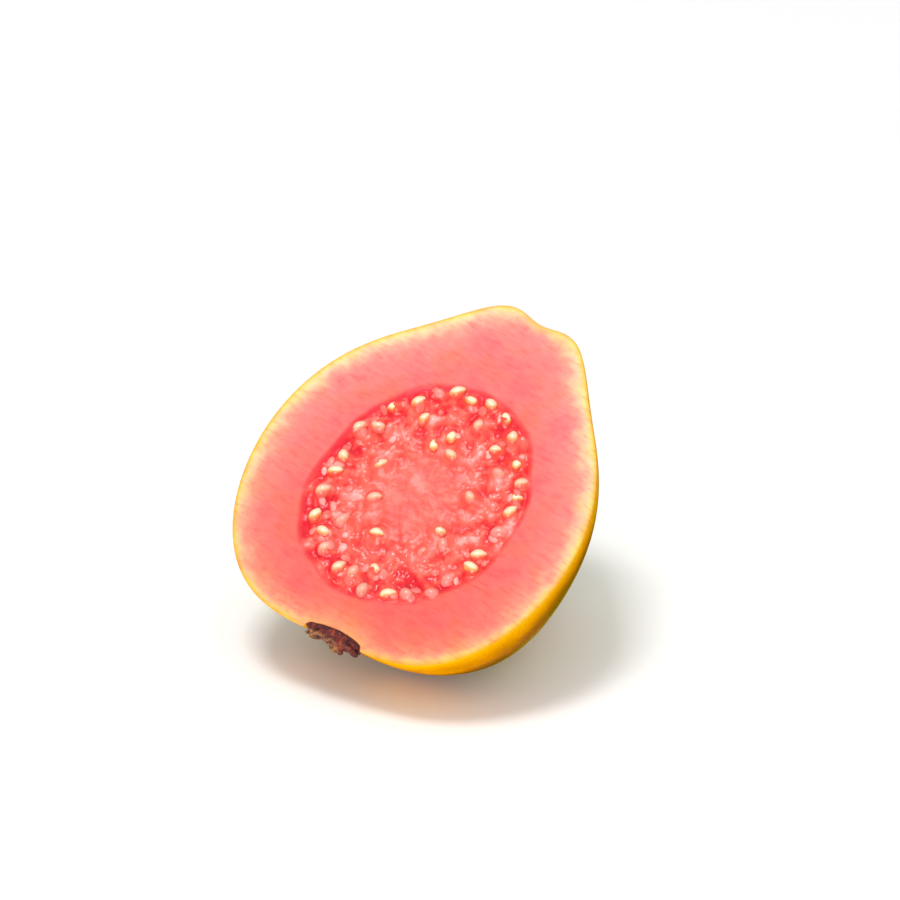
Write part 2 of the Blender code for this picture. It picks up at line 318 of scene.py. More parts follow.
# %% [markdown]
# ## What the finishes read
# The colours of a cut fruit follow the distance from its skin. That could be painted by hand, but
# stored numbers are exact: each point keeps its distance from the rim, its reach in the pulp and how
# close it is to the calyx or the stem, and the materials turn these into colour. The flesh is riper
# and more orange round the calyx than at the stem, so each point also keeps how ripe its side is. Its
# place is kept in millimetres, so that a pattern's scale is how many of its grains fit in one.

# %% Store the distances on the mesh
CALYX_STAIN_HALF_WIDTH = 0.0068
CALYX_STAIN_HEIGHT = 0.0032
STEM_STAIN_REACH = 0.0050
GREEN_FROM = 0.005
GREEN_FADE = 0.012
RIPE_TURN = math.radians(-72.0)
RIPE_SPREAD = math.radians(72.0)


def store(mesh, name, values, kind="FLOAT", domain="POINT"):
    """Keeps one value for each point or face under a name that a material can read."""
    attribute = mesh.attributes.new(name, kind, domain)
    field = "vector" if kind == "FLOAT_VECTOR" else "value"
    number = bool if kind == "BOOLEAN" else np.float32
    attribute.data.foreach_set(field, np.asarray(values, dtype=number).ravel())


def distance_from_rim(points, rim):
    """The distance of each point of the cut face from the nearest point of its rim."""
    nearest = np.full(len(points), 1.0)
    for corner in rim:
        nearest = np.minimum(nearest, np.hypot(points[:, 0] - corner[0], points[:, 1] - corner[1]))
    return nearest


def ripeness(turn):
    """How ripe the flesh is at this turn round the cut face: 1 beside the calyx, 0 on the far side."""
    away = abs((turn - RIPE_TURN + math.pi) % (2.0 * math.pi) - math.pi)
    return bell(away, RIPE_SPREAD)


def stem_stain(points):
    """1 at the stem's dent, falling smoothly to about a third at the stain's reach."""
    spot = np.array(STEM_END * skin_radius(STEM_END))
    return np.exp(-((np.linalg.norm(points - spot, axis=1) / STEM_STAIN_REACH) ** 2))


def calyx_stain(points):
    """1 along the calyx's seat, falling off fast beside it and more slowly towards the pulp."""
    along = points @ np.array(CUT_FACE.cross(CALYX_AXIS))
    inward = skin_radius(CALYX_AXIS) - points @ np.array(CALYX_AXIS)
    return np.exp(-((along / CALYX_STAIN_HALF_WIDTH) ** 4) - (inward / CALYX_STAIN_HEIGHT) ** 2)


face_count = 1 + AROUND * FACE_RING_COUNT
on_face = np.arange(len(own_points)) < face_count
from_rim = np.where(on_face, distance_from_rim(own_points, rings[FACE_RING_COUNT - 1]), 0.0)
reaches = np.array([pulp_reach(x, y) for x, y, _ in own_points])
trenches = [trench(x, y) if flat else 0.0 for (x, y, _), flat in zip(own_points, on_face)]
store(half_mesh, "from_rim", from_rim / MM)
store(half_mesh, "reach", np.where(on_face, reaches, 2.0))
# How much trench there is: it sinks the face, and the flesh paints it as dark red shade
store(half_mesh, "trench", trenches)
store(half_mesh, "ripe", [ripeness(math.atan2(y, x)) for x, y, _ in own_points])
store(half_mesh, "near_calyx", calyx_stain(own_points))
store(half_mesh, "near_stem", stem_stain(own_points))
store(half_mesh, "own_mm", own_points / MM, "FLOAT_VECTOR")
lying = laid_down(own_points)
lying[:, 2] = np.maximum(lying[:, 2], 0.0)
from_cut = np.clip((-own_points[:, 2] - GREEN_FROM) / GREEN_FADE, 0.0, 1.0)
off_ground = np.clip((lying[:, 2] - GREEN_FROM) / GREEN_FADE, 0.0, 1.0)
store(half_mesh, "aloft", from_cut * off_ground)
half_mesh.vertices.foreach_set("co", lying.astype(np.float32).ravel())
cut_faces = [all(i < face_count for i in face.vertices) for face in half_mesh.polygons]
store(half_mesh, "cut_face", cut_faces, "BOOLEAN", "FACE")
half_mesh.update()
print("flesh is up to", round(float(from_rim.max()) / MM, 1), "mm from the rim")
print(sum(cut_faces), "of", len(cut_faces), "faces are on the cut")

# %% [markdown]
# ## Helpers for colours, nodes and materials
# Colours are written as sRGB hex, as a colour picker shows them, and Blender wants them linear. One
# function turns them over. A second adds any node with its settings and links, so that each material
# and node tree below reads as a list of what it is made of. A node given as a link stands for its
# first output in use. A Mix node has sockets of the same name for numbers, vectors and colours, so
# the colour ones go by their number. Settings that many nodes share have short names here.

# %% Colours, nodes and an empty material
COLOUR_A = 6
COLOUR_B = 7
RGBA = {"data_type": "RGBA"}
TINT = {"data_type": "RGBA", "blend_type": "MULTIPLY"}
TIMES = {"operation": "MULTIPLY"}
TIMES_PLUS = {"operation": "MULTIPLY_ADD"}
MINUS = {"operation": "SUBTRACT"}
OVER = {"operation": "DIVIDE"}
FLESH_PINK = "#E67067"


def linear(hex_colour):
    """An sRGB hex colour as the linear values that Blender mixes."""
    parts = [int(hex_colour[i : i + 2], 16) / 255.0 for i in (1, 3, 5)]
    return (*[p / 12.92 if p <= 0.04045 else ((p + 0.055) / 1.055) ** 2.4 for p in parts], 1.0)


def add(tree, kind, settings=None, links=None, stops=None):
    """Adds a node: its settings, its sockets from values, colours, nodes or outputs, and a ramp's stops."""
    node = tree.nodes.new(kind)
    for name, value in (settings or {}).items():
        setattr(node, name, value)
    for socket, value in (links or {}).items():
        if isinstance(value, bpy.types.Node):
            value = next(output for output in value.outputs if output.enabled)
        if isinstance(value, bpy.types.NodeSocket):
            tree.links.new(value, node.inputs[socket])
        elif isinstance(value, str) and value.startswith("#"):
            node.inputs[socket].default_value = linear(value)
        else:
            node.inputs[socket].default_value = value
    for number, (place, colour) in enumerate(stops or []):
        elements = node.color_ramp.elements
        element = elements[number] if number < len(elements) else elements.new(place)
        element.position = place
        element.color = linear(colour) if isinstance(colour, str) else (colour, colour, colour, 1.0)
    return node


def new_material(name):
    """A material whose node tree is still empty."""
    material = bpy.data.materials.new(name)
    material.use_nodes = True
    material.node_tree.nodes.clear()
    return material, material.node_tree


print("flesh pink is", [round(c, 3) for c in linear(FLESH_PINK)])

# %% [markdown]
# ## Finish: knife-cut flesh
# Cut guava flesh is firm and grainy, with a faint run of fibres, and only damp, so it has a soft
# shine. Light goes a little way in, which takes the hardness off its edges. From the rim inwards it
# goes from the yellow of the skin through cream to coral pink, and the pulp is redder and wetter. One
# material with ramps over the stored distances is chosen, so that no seam shows between the zones.
# The ramps' places are millimetres from the rim, as a share of the deepest that they reach.

# %% Colours from the rim inwards
RAMP_DEPTH_MM = 12.0
PALE_SIDE = [
    (0.05, "#D9A81F"),
    (0.4, "#E3BE4C"),
    (0.8, "#E8CC80"),
    (1.4, "#E8C896"),
    (2.0, "#E6BC94"),
    (2.7, "#E6AC8C"),
    (3.5, "#E69983"),
    (4.6, "#E6877B"),
    (6.0, "#E67D75"),
    (8.0, "#E6756F"),
    (12.0, "#E66A65"),
]
RIPE_SIDE = [
    (0.05, "#E7AC34"),
    (0.5, "#E7B452"),
    (1.0, "#E7AC6C"),
    (1.6, "#E6946A"),
    (2.3, "#E68060"),
    (3.4, "#E67055"),
    (5.0, "#E66452"),
    (8.0, "#E65A50"),
    (12.0, "#E6584F"),
]


def shares(stops):
    """Ramp stops given in millimetres as stops on the ramp's scale from 0 to 1."""
    return [(place / RAMP_DEPTH_MM, colour) for place, colour in stops]


print("two ramps, of", len(PALE_SIDE), "and", len(RIPE_SIDE), "colours")

# %% Colour of the pulp
PULP_STREAK_PER_MM = 0.26
PULP_CONTRAST = 1.1
MEAN_RED = 0.19
GAP_RED = 0.16
GEL_PALE_SHEEN = 0.15
PULP_TONES = [
    (0.10, "#D21E2C"),
    (0.20, "#DE3232"),
    (0.30, "#E44E44"),
    (0.42, "#E46253"),
    (0.53, "#E6746A"),
    (0.66, "#E8A29B"),
]
CALM_TONE = "#E25C4E"
CALM_SHARE = 0.65
# Painted shade: an orange red ring round each seed's foot, partly the gel's own tint
SEED_FOOT_SHADE_TONE = "#E45A3C"
SEED_FOOT_SHADE_SHARES = [(0.38, 0.0), (0.58, 0.7), (1.0, 0.7)]


def pulp_colour(tree, place, reach):
    """Coral, red in the hollows and the gaps near the border, pale pink on the tops: partly painted shade and
    highlight.
    """
    # Colour follows the relief: red hollows as painted shade, pale tops and gel as a painted highlight
    lump = add(tree, "ShaderNodeAttribute", {"attribute_name": "lump"}).outputs["Fac"]
    gel = add(tree, "ShaderNodeAttribute", {"attribute_name": "gel"}).outputs["Fac"]
    streaked = {"Vector": place, "Scale": PULP_STREAK_PER_MM, "Detail": 3.0, "Distortion": 0.4}
    streaks = add(tree, "ShaderNodeTexNoise", links=streaked)
    uneven = add(tree, "ShaderNodeMath", TIMES_PLUS, {0: streaks, 1: PULP_CONTRAST, 2: lump})
    reds = {"From Min": 0.62, "From Max": 0.9, "To Min": MEAN_RED, "To Max": MEAN_RED + GAP_RED}
    outer = add(tree, "ShaderNodeMapRange", links={"Value": reach, **reds})
    redder = add(tree, "ShaderNodeMath", MINUS, {0: uneven, 1: outer})
    level = add(tree, "ShaderNodeMath", TIMES_PLUS, {0: gel, 1: GEL_PALE_SHEEN, 2: redder})
    tones = add(tree, "ShaderNodeValToRGB", links={"Fac": level}, stops=PULP_TONES)
    calming = {"From Min": 0.30, "From Max": 0.72, "To Min": CALM_SHARE, "To Max": 0.0}
    calm = add(tree, "ShaderNodeMapRange", links={"Value": reach, **calming})
    quiet = add(tree, "ShaderNodeMix", RGBA, {"Factor": calm, COLOUR_A: tones, COLOUR_B: CALM_TONE})
    # Painted shade round the foot of each seed, with some of the gel's own tint
    foot = add(tree, "ShaderNodeValToRGB", links={"Fac": gel}, stops=SEED_FOOT_SHADE_SHARES)
    return add(tree, "ShaderNodeMix", RGBA, {"Factor": foot, COLOUR_A: quiet, COLOUR_B: SEED_FOOT_SHADE_TONE})


# %% Material of the cut face
GRAIN_PER_MM = 1.6
GRAIN_RELIEF = 0.18 * MM
FIBRE_PER_MM = 1.1
FIBRE_TURN = (0.0, 0.0, 0.35)
FIBRE_STRETCH = (0.3, 1.0, 1.0)
FIBRE_TINTS = [(0.28, "#FFCFCF"), (0.46, "#FFF4F4"), (0.60, "#FFFFFF")]
CLOUD_PER_MM = 0.14
CLOUD_TINTS = [(0.32, "#FFDCEC"), (0.50, "#FFFFFF"), (0.68, "#FFF8D8")]
MOTTLE_PER_MM = 0.35
WAVER_MM = 2.0
WAVER_FULL_AT_MM = 3.0
SKINLESS_MM = 1.5
STEM_NARROWS = 1.8
CALYX_ORANGE_SHARE = 0.7
ROUGHNESS_BY_REACH = [(0.25, 0.36), (0.65, 0.14), (0.92, 0.14), (1.0, 0.50)]
FLESH_LOOK = {
    "IOR": 1.36,
    "Subsurface Weight": 0.35,
    "Subsurface Radius": (1.0, 0.4, 0.3),
    "Subsurface Scale": 1.0 * MM,
}


def make_flesh():
    material, tree = new_material("guava_flesh_knife_cut")
    place = add(tree, "ShaderNodeAttribute", {"attribute_name": "own_mm"}).outputs["Vector"]
    from_rim, reach, ripe, calyx, stem, painted_trench_shade = [
        add(tree, "ShaderNodeAttribute", {"attribute_name": name}).outputs["Fac"]
        for name in ("from_rim", "reach", "ripe", "near_calyx", "near_stem", "trench")
    ]

    # The zones waver more the farther in they lie, and the skin's line hardly at all
    mottle = add(tree, "ShaderNodeTexNoise", links={"Vector": place, "Scale": MOTTLE_PER_MM, "Detail": 4.0})
    swing = add(tree, "ShaderNodeMath", MINUS, {0: mottle, 1: 0.5})
    wavering = {"Value": from_rim, "From Max": WAVER_FULL_AT_MM, "To Max": 2.0 * WAVER_MM}
    grown = add(tree, "ShaderNodeMapRange", links=wavering)
    waver = add(tree, "ShaderNodeMath", TIMES, {0: swing, 1: grown})
    narrowed = add(tree, "ShaderNodeMapRange", links={"Value": stem, "To Min": 1.0, "To Max": STEM_NARROWS})
    inward = add(tree, "ShaderNodeMath", TIMES_PLUS, {0: from_rim, 1: narrowed, 2: waver})

    # No skin shows along the calyx, so its colours are left out there
    depth = add(tree, "ShaderNodeMath", TIMES_PLUS, {0: calyx, 1: SKINLESS_MM, 2: inward})
    scaled = add(tree, "ShaderNodeMath", OVER, {0: depth, 1: RAMP_DEPTH_MM})
    pale = add(tree, "ShaderNodeValToRGB", links={"Fac": scaled}, stops=shares(PALE_SIDE))
    warm = add(tree, "ShaderNodeValToRGB", links={"Fac": scaled}, stops=shares(RIPE_SIDE))
    zones = add(tree, "ShaderNodeMix", RGBA, {"Factor": ripe, COLOUR_A: pale, COLOUR_B: warm})

    # Pink and orange patches, and fibres that run across the fruit from the pulp to the skin
    clouds = add(tree, "ShaderNodeTexNoise", links={"Vector": place, "Scale": CLOUD_PER_MM, "Detail": 5.0})
    cloud_tint = add(tree, "ShaderNodeValToRGB", links={"Fac": clouds}, stops=CLOUD_TINTS)
    along = {"Vector": place, "Rotation": FIBRE_TURN, "Scale": FIBRE_STRETCH}
    drawn = add(tree, "ShaderNodeMapping", links=along)
    threads = {"Vector": drawn, "Scale": FIBRE_PER_MM, "Detail": 5.0, "Roughness": 0.6}
    fibres = add(tree, "ShaderNodeTexNoise", links=threads)
    fibre_tint = add(tree, "ShaderNodeValToRGB", links={"Fac": fibres}, stops=FIBRE_TINTS)

    # The ends are stained: orange over the calyx, and gold in a thin band in the dent at the stem
    orange = add(tree, "ShaderNodeMath", TIMES, {0: calyx, 1: CALYX_ORANGE_SHARE})
    thinning = {"From Min": 0.4, "From Max": 2.2, "To Min": 0.8, "To Max": 0.0}
    band = add(tree, "ShaderNodeMapRange", links={"Value": from_rim, **thinning})
    gold = add(tree, "ShaderNodeMath", TIMES, {0: stem, 1: band})

    # From the ground up, each layer with its share: patches, fibres, stains, pulp, and painted shade along
    # the trench
    in_pulp = add(tree, "ShaderNodeMapRange", links={"Value": reach, "From Min": 1.01, "From Max": 0.95})
    layers = [
        (TINT, 1.0, cloud_tint),
        (TINT, 1.0, fibre_tint),
        (RGBA, orange, "#E0703A"),
        (RGBA, gold, "#E6A844"),
        (RGBA, in_pulp, pulp_colour(tree, place, reach)),
        # Painted shade: dark red along the trench, over the pulp's own red
        (RGBA, painted_trench_shade, "#E2203A"),
    ]
    colour = zones
    for blend, share, tint in layers:
        colour = add(tree, "ShaderNodeMix", blend, {"Factor": share, COLOUR_A: colour, COLOUR_B: tint})

    # Damp flesh is satin, the wet pulp round the seeds is glossy, and its middle lies between
    rough = add(tree, "ShaderNodeValToRGB", links={"Fac": reach}, stops=ROUGHNESS_BY_REACH)
    grain = add(tree, "ShaderNodeTexNoise", links={"Vector": place, "Scale": GRAIN_PER_MM, "Detail": 4.0})
    bump = add(tree, "ShaderNodeBump", links={"Height": grain, "Strength": 0.4, "Distance": GRAIN_RELIEF})
    look = {"Base Color": colour, "Roughness": rough, "Normal": bump, **FLESH_LOOK}
    shader = add(tree, "ShaderNodeBsdfPrincipled", links=look)
    add(tree, "ShaderNodeOutputMaterial", links={"Surface": shader})
    return material


flesh = make_flesh()
print("made", flesh.name, "of", len(flesh.node_tree.nodes), "nodes")

# %% [markdown]
# ## Finish: ripe waxy skin
# Guava skin is thin, with a natural wax that gives it a satin shine. It ripens from green to yellow,
# first along the side that the knife went through, and has a rusty blush and many small breathing
# pores, the lenticels. Noise at a few real sizes gives the patches, a Voronoi pattern spaces the
# pores, and the depth below the cut gives the run from gold to green. On the side by the calyx this
# run dips to a dark olive band, partly the skin's own olive and partly painted shade where the skin
# turns away below the rim. Real pores are finer than these, which are drawn as coarse as they need
# to be to show.

# %% Material of the skin
PORES_PER_MM = 0.6
SPECKS_PER_MM = 1.1
PATCHES_PER_MM = 0.045
BLUSH_PER_MM = 0.07
# Gold below the rim, a dark olive band of painted shade, then the skin's own olive yellow
GOLD_TO_SHADED_OLIVE = [
    (0.00, "#F5B80C"),
    (0.07, "#EBA200"),
    (0.14, "#D48A00"),
    (0.22, "#A46C04"),
    (0.31, "#7E5E04"),
    (0.46, "#A0841A"),
    (0.60, "#C4A82E"),
    (1.00, "#D0A036"),
]
YELLOW_TO_GREEN = [
    (0.00, "#F2BC14"),
    (0.08, "#DEB018"),
    (0.20, "#B8A820"),
    (0.40, "#ACA824"),
    (0.60, "#BCB030"),
    (1.00, "#CCA836"),
]
DEEPEST_MM = 34.0
GOLD_NARROWS = (1.5, 0.65)
STRAY = 0.8
RUST_SHARES = [(0.50, 0.0), (0.68, 0.6)]
SPECK_TINTS = [(0.36, "#D9CBA0"), (0.52, "#FFFFFF")]
SPECK_SHARE = 0.3
PORE_SHARES = [(0.08, 0.5), (0.22, 0.0)]
PORE_HEIGHT = 0.8
SKIN_RELIEF = 0.12 * MM
SKIN_LOOK = {"Roughness": 0.5, "IOR": 1.40, "Specular IOR Level": 0.0, "Coat Roughness": 0.25}
WAX_WEIGHT = 0.5


def make_skin():
    material, tree = new_material("guava_skin_ripe_waxy")
    place = add(tree, "ShaderNodeAttribute", {"attribute_name": "own_mm"}).outputs["Vector"]
    ripe, aloft, calyx, stem = [
        add(tree, "ShaderNodeAttribute", {"attribute_name": name}).outputs["Fac"]
        for name in ("ripe", "aloft", "near_calyx", "near_stem")
    ]
    height = add(tree, "ShaderNodeSeparateXYZ", links={"Vector": place}).outputs["Z"]
    depth = add(tree, "ShaderNodeMath", OVER, {0: height, 1: -DEEPEST_MM})

    # Gold turns to olive with the depth below the cut, through a dark band of painted shade on the
    # calyx's side, and the line strays more the lower it lies
    patches = add(tree, "ShaderNodeTexNoise", links={"Vector": place, "Scale": PATCHES_PER_MM, "Detail": 4.0})
    swing = add(tree, "ShaderNodeMath", MINUS, {0: patches, 1: 0.5})
    grown = add(tree, "ShaderNodeMapRange", links={"Value": depth, "From Max": 0.3, "To Max": STRAY})
    stray = add(tree, "ShaderNodeMath", TIMES, {0: swing, 1: grown})
    narrowing = {"Value": ripe, "To Min": GOLD_NARROWS[0], "To Max": GOLD_NARROWS[1]}
    slower = add(tree, "ShaderNodeMapRange", links=narrowing)
    ripened = add(tree, "ShaderNodeMath", TIMES_PLUS, {0: depth, 1: slower, 2: stray})
    gold = add(tree, "ShaderNodeValToRGB", links={"Fac": ripened}, stops=GOLD_TO_SHADED_OLIVE)
    yellow = add(tree, "ShaderNodeValToRGB", links={"Fac": ripened}, stops=YELLOW_TO_GREEN)
    gold_side = add(tree, "ShaderNodeMapRange", links={"Value": ripe, "From Max": 0.25})

    # The upper back is still green in patches, and the blush is left off the gold along the cut
    patch = add(tree, "ShaderNodeMapRange", links={"Value": patches, "From Min": 0.36, "From Max": 0.56})
    back = add(tree, "ShaderNodeMapRange", links={"Value": depth, "From Min": 0.3, "From Max": 0.6})
    upper_back = add(tree, "ShaderNodeMath", TIMES, {0: back, 1: aloft})
    green = add(tree, "ShaderNodeMath", TIMES, {0: patch, 1: upper_back})
    blotches = {"Vector": place, "Scale": BLUSH_PER_MM, "Detail": 8.0, "Roughness": 0.65}
    rust = add(tree, "ShaderNodeTexNoise", links=blotches)
    rust_share = add(tree, "ShaderNodeValToRGB", links={"Fac": rust}, stops=RUST_SHARES)
    off_gold = add(tree, "ShaderNodeMapRange", links={"Value": depth, "From Min": 0.04, "From Max": 0.25})
    rusty = add(tree, "ShaderNodeMath", TIMES, {0: rust_share, 1: off_gold})

    # Specks everywhere, and pores that show more on the back
    specks = add(tree, "ShaderNodeTexNoise", links={"Vector": place, "Scale": SPECKS_PER_MM, "Detail": 3.0})
    speck_tint = add(tree, "ShaderNodeValToRGB", links={"Fac": specks}, stops=SPECK_TINTS)
    pores = add(tree, "ShaderNodeTexVoronoi", links={"Vector": place, "Scale": PORES_PER_MM})
    spots = {"Fac": pores.outputs["Distance"]}
    pore_share = add(tree, "ShaderNodeValToRGB", links=spots, stops=PORE_SHARES)
    growing = {"From Min": 0.1, "From Max": 0.4, "To Min": 0.25, "To Max": 1.0}
    showing = add(tree, "ShaderNodeMapRange", links={"Value": depth, **growing})
    pored = add(tree, "ShaderNodeMath", TIMES, {0: pore_share, 1: showing})

    # From the ground up, each layer with its share, and last the stains at the two ends
    layers = [
        (RGBA, gold_side, gold),
        (RGBA, green, "#A8B828"),
        (RGBA, rusty, "#C06A2C"),
        (TINT, SPECK_SHARE, speck_tint),
        (RGBA, pored, "#C9BE62"),
        (RGBA, calyx, "#A0642A"),
        (RGBA, stem, "#C98A1E"),
    ]
    colour = yellow
    for blend, share, tint in layers:
        colour = add(tree, "ShaderNodeMix", blend, {"Factor": share, COLOUR_A: colour, COLOUR_B: tint})

    # The wax is whole on the back, and wiped off along the cut
    wax_range = {"From Min": 0.5, "From Max": 0.8, "To Max": WAX_WEIGHT}
    wax = add(tree, "ShaderNodeMapRange", links={"Value": depth, **wax_range})
    relief = add(tree, "ShaderNodeMath", TIMES_PLUS, {0: pore_share, 1: PORE_HEIGHT, 2: specks})
    bump = add(tree, "ShaderNodeBump", links={"Height": relief, "Strength": 0.4, "Distance": SKIN_RELIEF})
    look = {"Base Color": colour, "Normal": bump, "Coat Weight": wax, **SKIN_LOOK}
    shader = add(tree, "ShaderNodeBsdfPrincipled", links=look)
    add(tree, "ShaderNodeOutputMaterial", links={"Surface": shader})
    return material


skin = make_skin()
print("made", skin.name, "of", len(skin.node_tree.nodes), "nodes")

# %% [markdown]
# ## The half as an object
# The half starts with the skin's material all over. The next steps add the pulp's relief and give the
# cut face the flesh. They run node trees on it, so two more helpers start a tree and keep its result.

# %% Make the half


def new_object(name, mesh, *materials):
    """Links a mesh to the scene as an object, with its materials."""
    for material in materials:
        mesh.materials.append(material)
    obj = bpy.data.objects.new(name, mesh)
    bpy.context.scene.collection.objects.link(obj)
    return obj


def apply_tree(obj, tree, values):
    """Runs a node tree on the object and keeps what it makes as a plain mesh."""
    modifier = obj.modifiers.new(tree.name, "NODES")
    modifier.node_group = tree
    for item in tree.interface.items_tree:
        if item.in_out == "INPUT" and item.name in values:
            modifier[item.identifier] = values[item.name]
    bpy.context.view_layer.update()
    graph = bpy.context.evaluated_depsgraph_get()
    made = obj.evaluated_get(graph)
    mesh = bpy.data.meshes.new_from_object(made, preserve_all_data_layers=True, depsgraph=graph)
    obj.modifiers.clear()
    old = obj.data
    obj.data = mesh
    bpy.data.meshes.remove(old)
    mesh.name = obj.name


def new_tree(name, inputs):
    """An empty Geometry Nodes tree with its named inputs; returns it with its group input and output."""
    tree = bpy.data.node_groups.new(name, "GeometryNodeTree")
    tree.interface.new_socket("Geometry", in_out="INPUT", socket_type="NodeSocketGeometry")
    for label, kind in inputs:
        tree.interface.new_socket(label, in_out="INPUT", socket_type=kind)
    tree.interface.new_socket("Geometry", in_out="OUTPUT", socket_type="NodeSocketGeometry")
    group = add(tree, "NodeGroupInput")
    output = add(tree, "NodeGroupOutput")
    return tree, group.outputs, output.inputs["Geometry"]


half = new_object("guava_half", half_mesh, skin)
print("made", half.name, "with", half.data.materials[0].name)

# %% [markdown]
# ## Where the seeds sit
# Most seeds stand in a row just inside the pulp's border, and the rest are strewn over the bed. The
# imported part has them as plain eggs, placed by a seeded draw. The same draw gives the same places
# here, so that each fine seed stands exactly where the plain one is.

# %% Draw the seeds' places
SEED_COUNT = 46
SEED_ROW = 30
SEED_ROW_STRAY = 0.35
SEED_ROW_REACH = (0.82, 0.94)
SEED_INNER_REACH = (0.36, 0.74)
SEED_SPACING = 0.0030
SEED_HALF_LENGTH = 0.0018
SEED_HALF_WIDTH = 0.0013
SEED_HALF_HEIGHT = 0.0013
SEED_SIZES = (0.85, 1.1)
SEED_TILT = 0.3
SEED_LIFT = 0.0002
SEED_DRAW = 6167
VEIL_POWER = 1.7


def seed_places():
    """Where each seed lies on the pulp: drawn at random, and kept only where it is clear of the others."""
    draw = random.Random(SEED_DRAW)
    places = []
    while len(places) < SEED_COUNT:
        if len(places) < SEED_ROW:
            step = len(places) + draw.uniform(-SEED_ROW_STRAY, SEED_ROW_STRAY)
            angle = 2.0 * math.pi * step / SEED_ROW
            reach = draw.uniform(*SEED_ROW_REACH)
        else:
            angle = draw.uniform(0.0, 2.0 * math.pi)
            reach = draw.uniform(*SEED_INNER_REACH)
        spot = PULP_MIDDLE + Vector(
            (reach * PULP_HALF_WIDTH * math.cos(angle), reach * PULP_HALF_LENGTH * math.sin(angle), 0.0)
        )
        if all((spot - other).length > SEED_SPACING for other in places):
            places.append(spot)
    return places


def seed_points():
    """One point for each seed, with its size, its turn and how much gel veils it."""
    draw = random.Random(SEED_DRAW)
    veil_draw = random.Random(SEED_DRAW)
    spots, sizes, seed_turns, veils = [], [], [], []
    for spot in seed_places():
        sizes.append(draw.uniform(*SEED_SIZES))
        own_turn = Euler((0.0, draw.uniform(-SEED_TILT, SEED_TILT), draw.uniform(0.0, math.pi)))
        seed_turns.append((rest_turn @ own_turn.to_matrix()).to_euler())
        spots.append((spot.x, spot.y, -PULP_SINK + SEED_LIFT))
        veils.append(veil_draw.uniform(0.0, 1.0) ** VEIL_POWER)
    mesh = bpy.data.meshes.new("seed_points")
    mesh.from_pydata(laid_down(spots).tolist(), [], [])
    store(mesh, "size", sizes)
    store(mesh, "turn", [tuple(t) for t in seed_turns], "FLOAT_VECTOR")
    store(mesh, "veil", veils)
    return mesh


seed_spots = new_object("seeds", seed_points())
print(len(seed_spots.data.vertices), "seeds")

# %% [markdown]
# ## Relief of the pulp
# The pulp is lumpy, and swells round each seed. Sculpting would do, but a node tree can ask how near
# each point is to a seed, and lift it by a rule: large lumps, fine grain, and a swelling of gel. It
# also stores the lumps and the gel, so that the finish can colour the hollows red, partly as painted
# shade, and the tops pale, partly as a painted highlight.

# %% Node tree for the relief
LUMP_HEIGHT = 0.0009
LUMP_SIZE = 0.0030
GRAIN_HEIGHT = 0.00025
GRAIN_SIZE = 0.0010
GEL_RISE = 0.0011
GEL_REACH = 0.0028
RELIEF_EDGE = 0.10
CALM_MIDDLE = 0.8
GRAIN_IN_COLOUR = 0.3
SMOOTH = {"interpolation_type": "SMOOTHSTEP"}
NUMBER = {"data_type": "FLOAT"}
SCALED = {"operation": "SCALE"}
IN_PLACE = {"transform_space": "RELATIVE"}


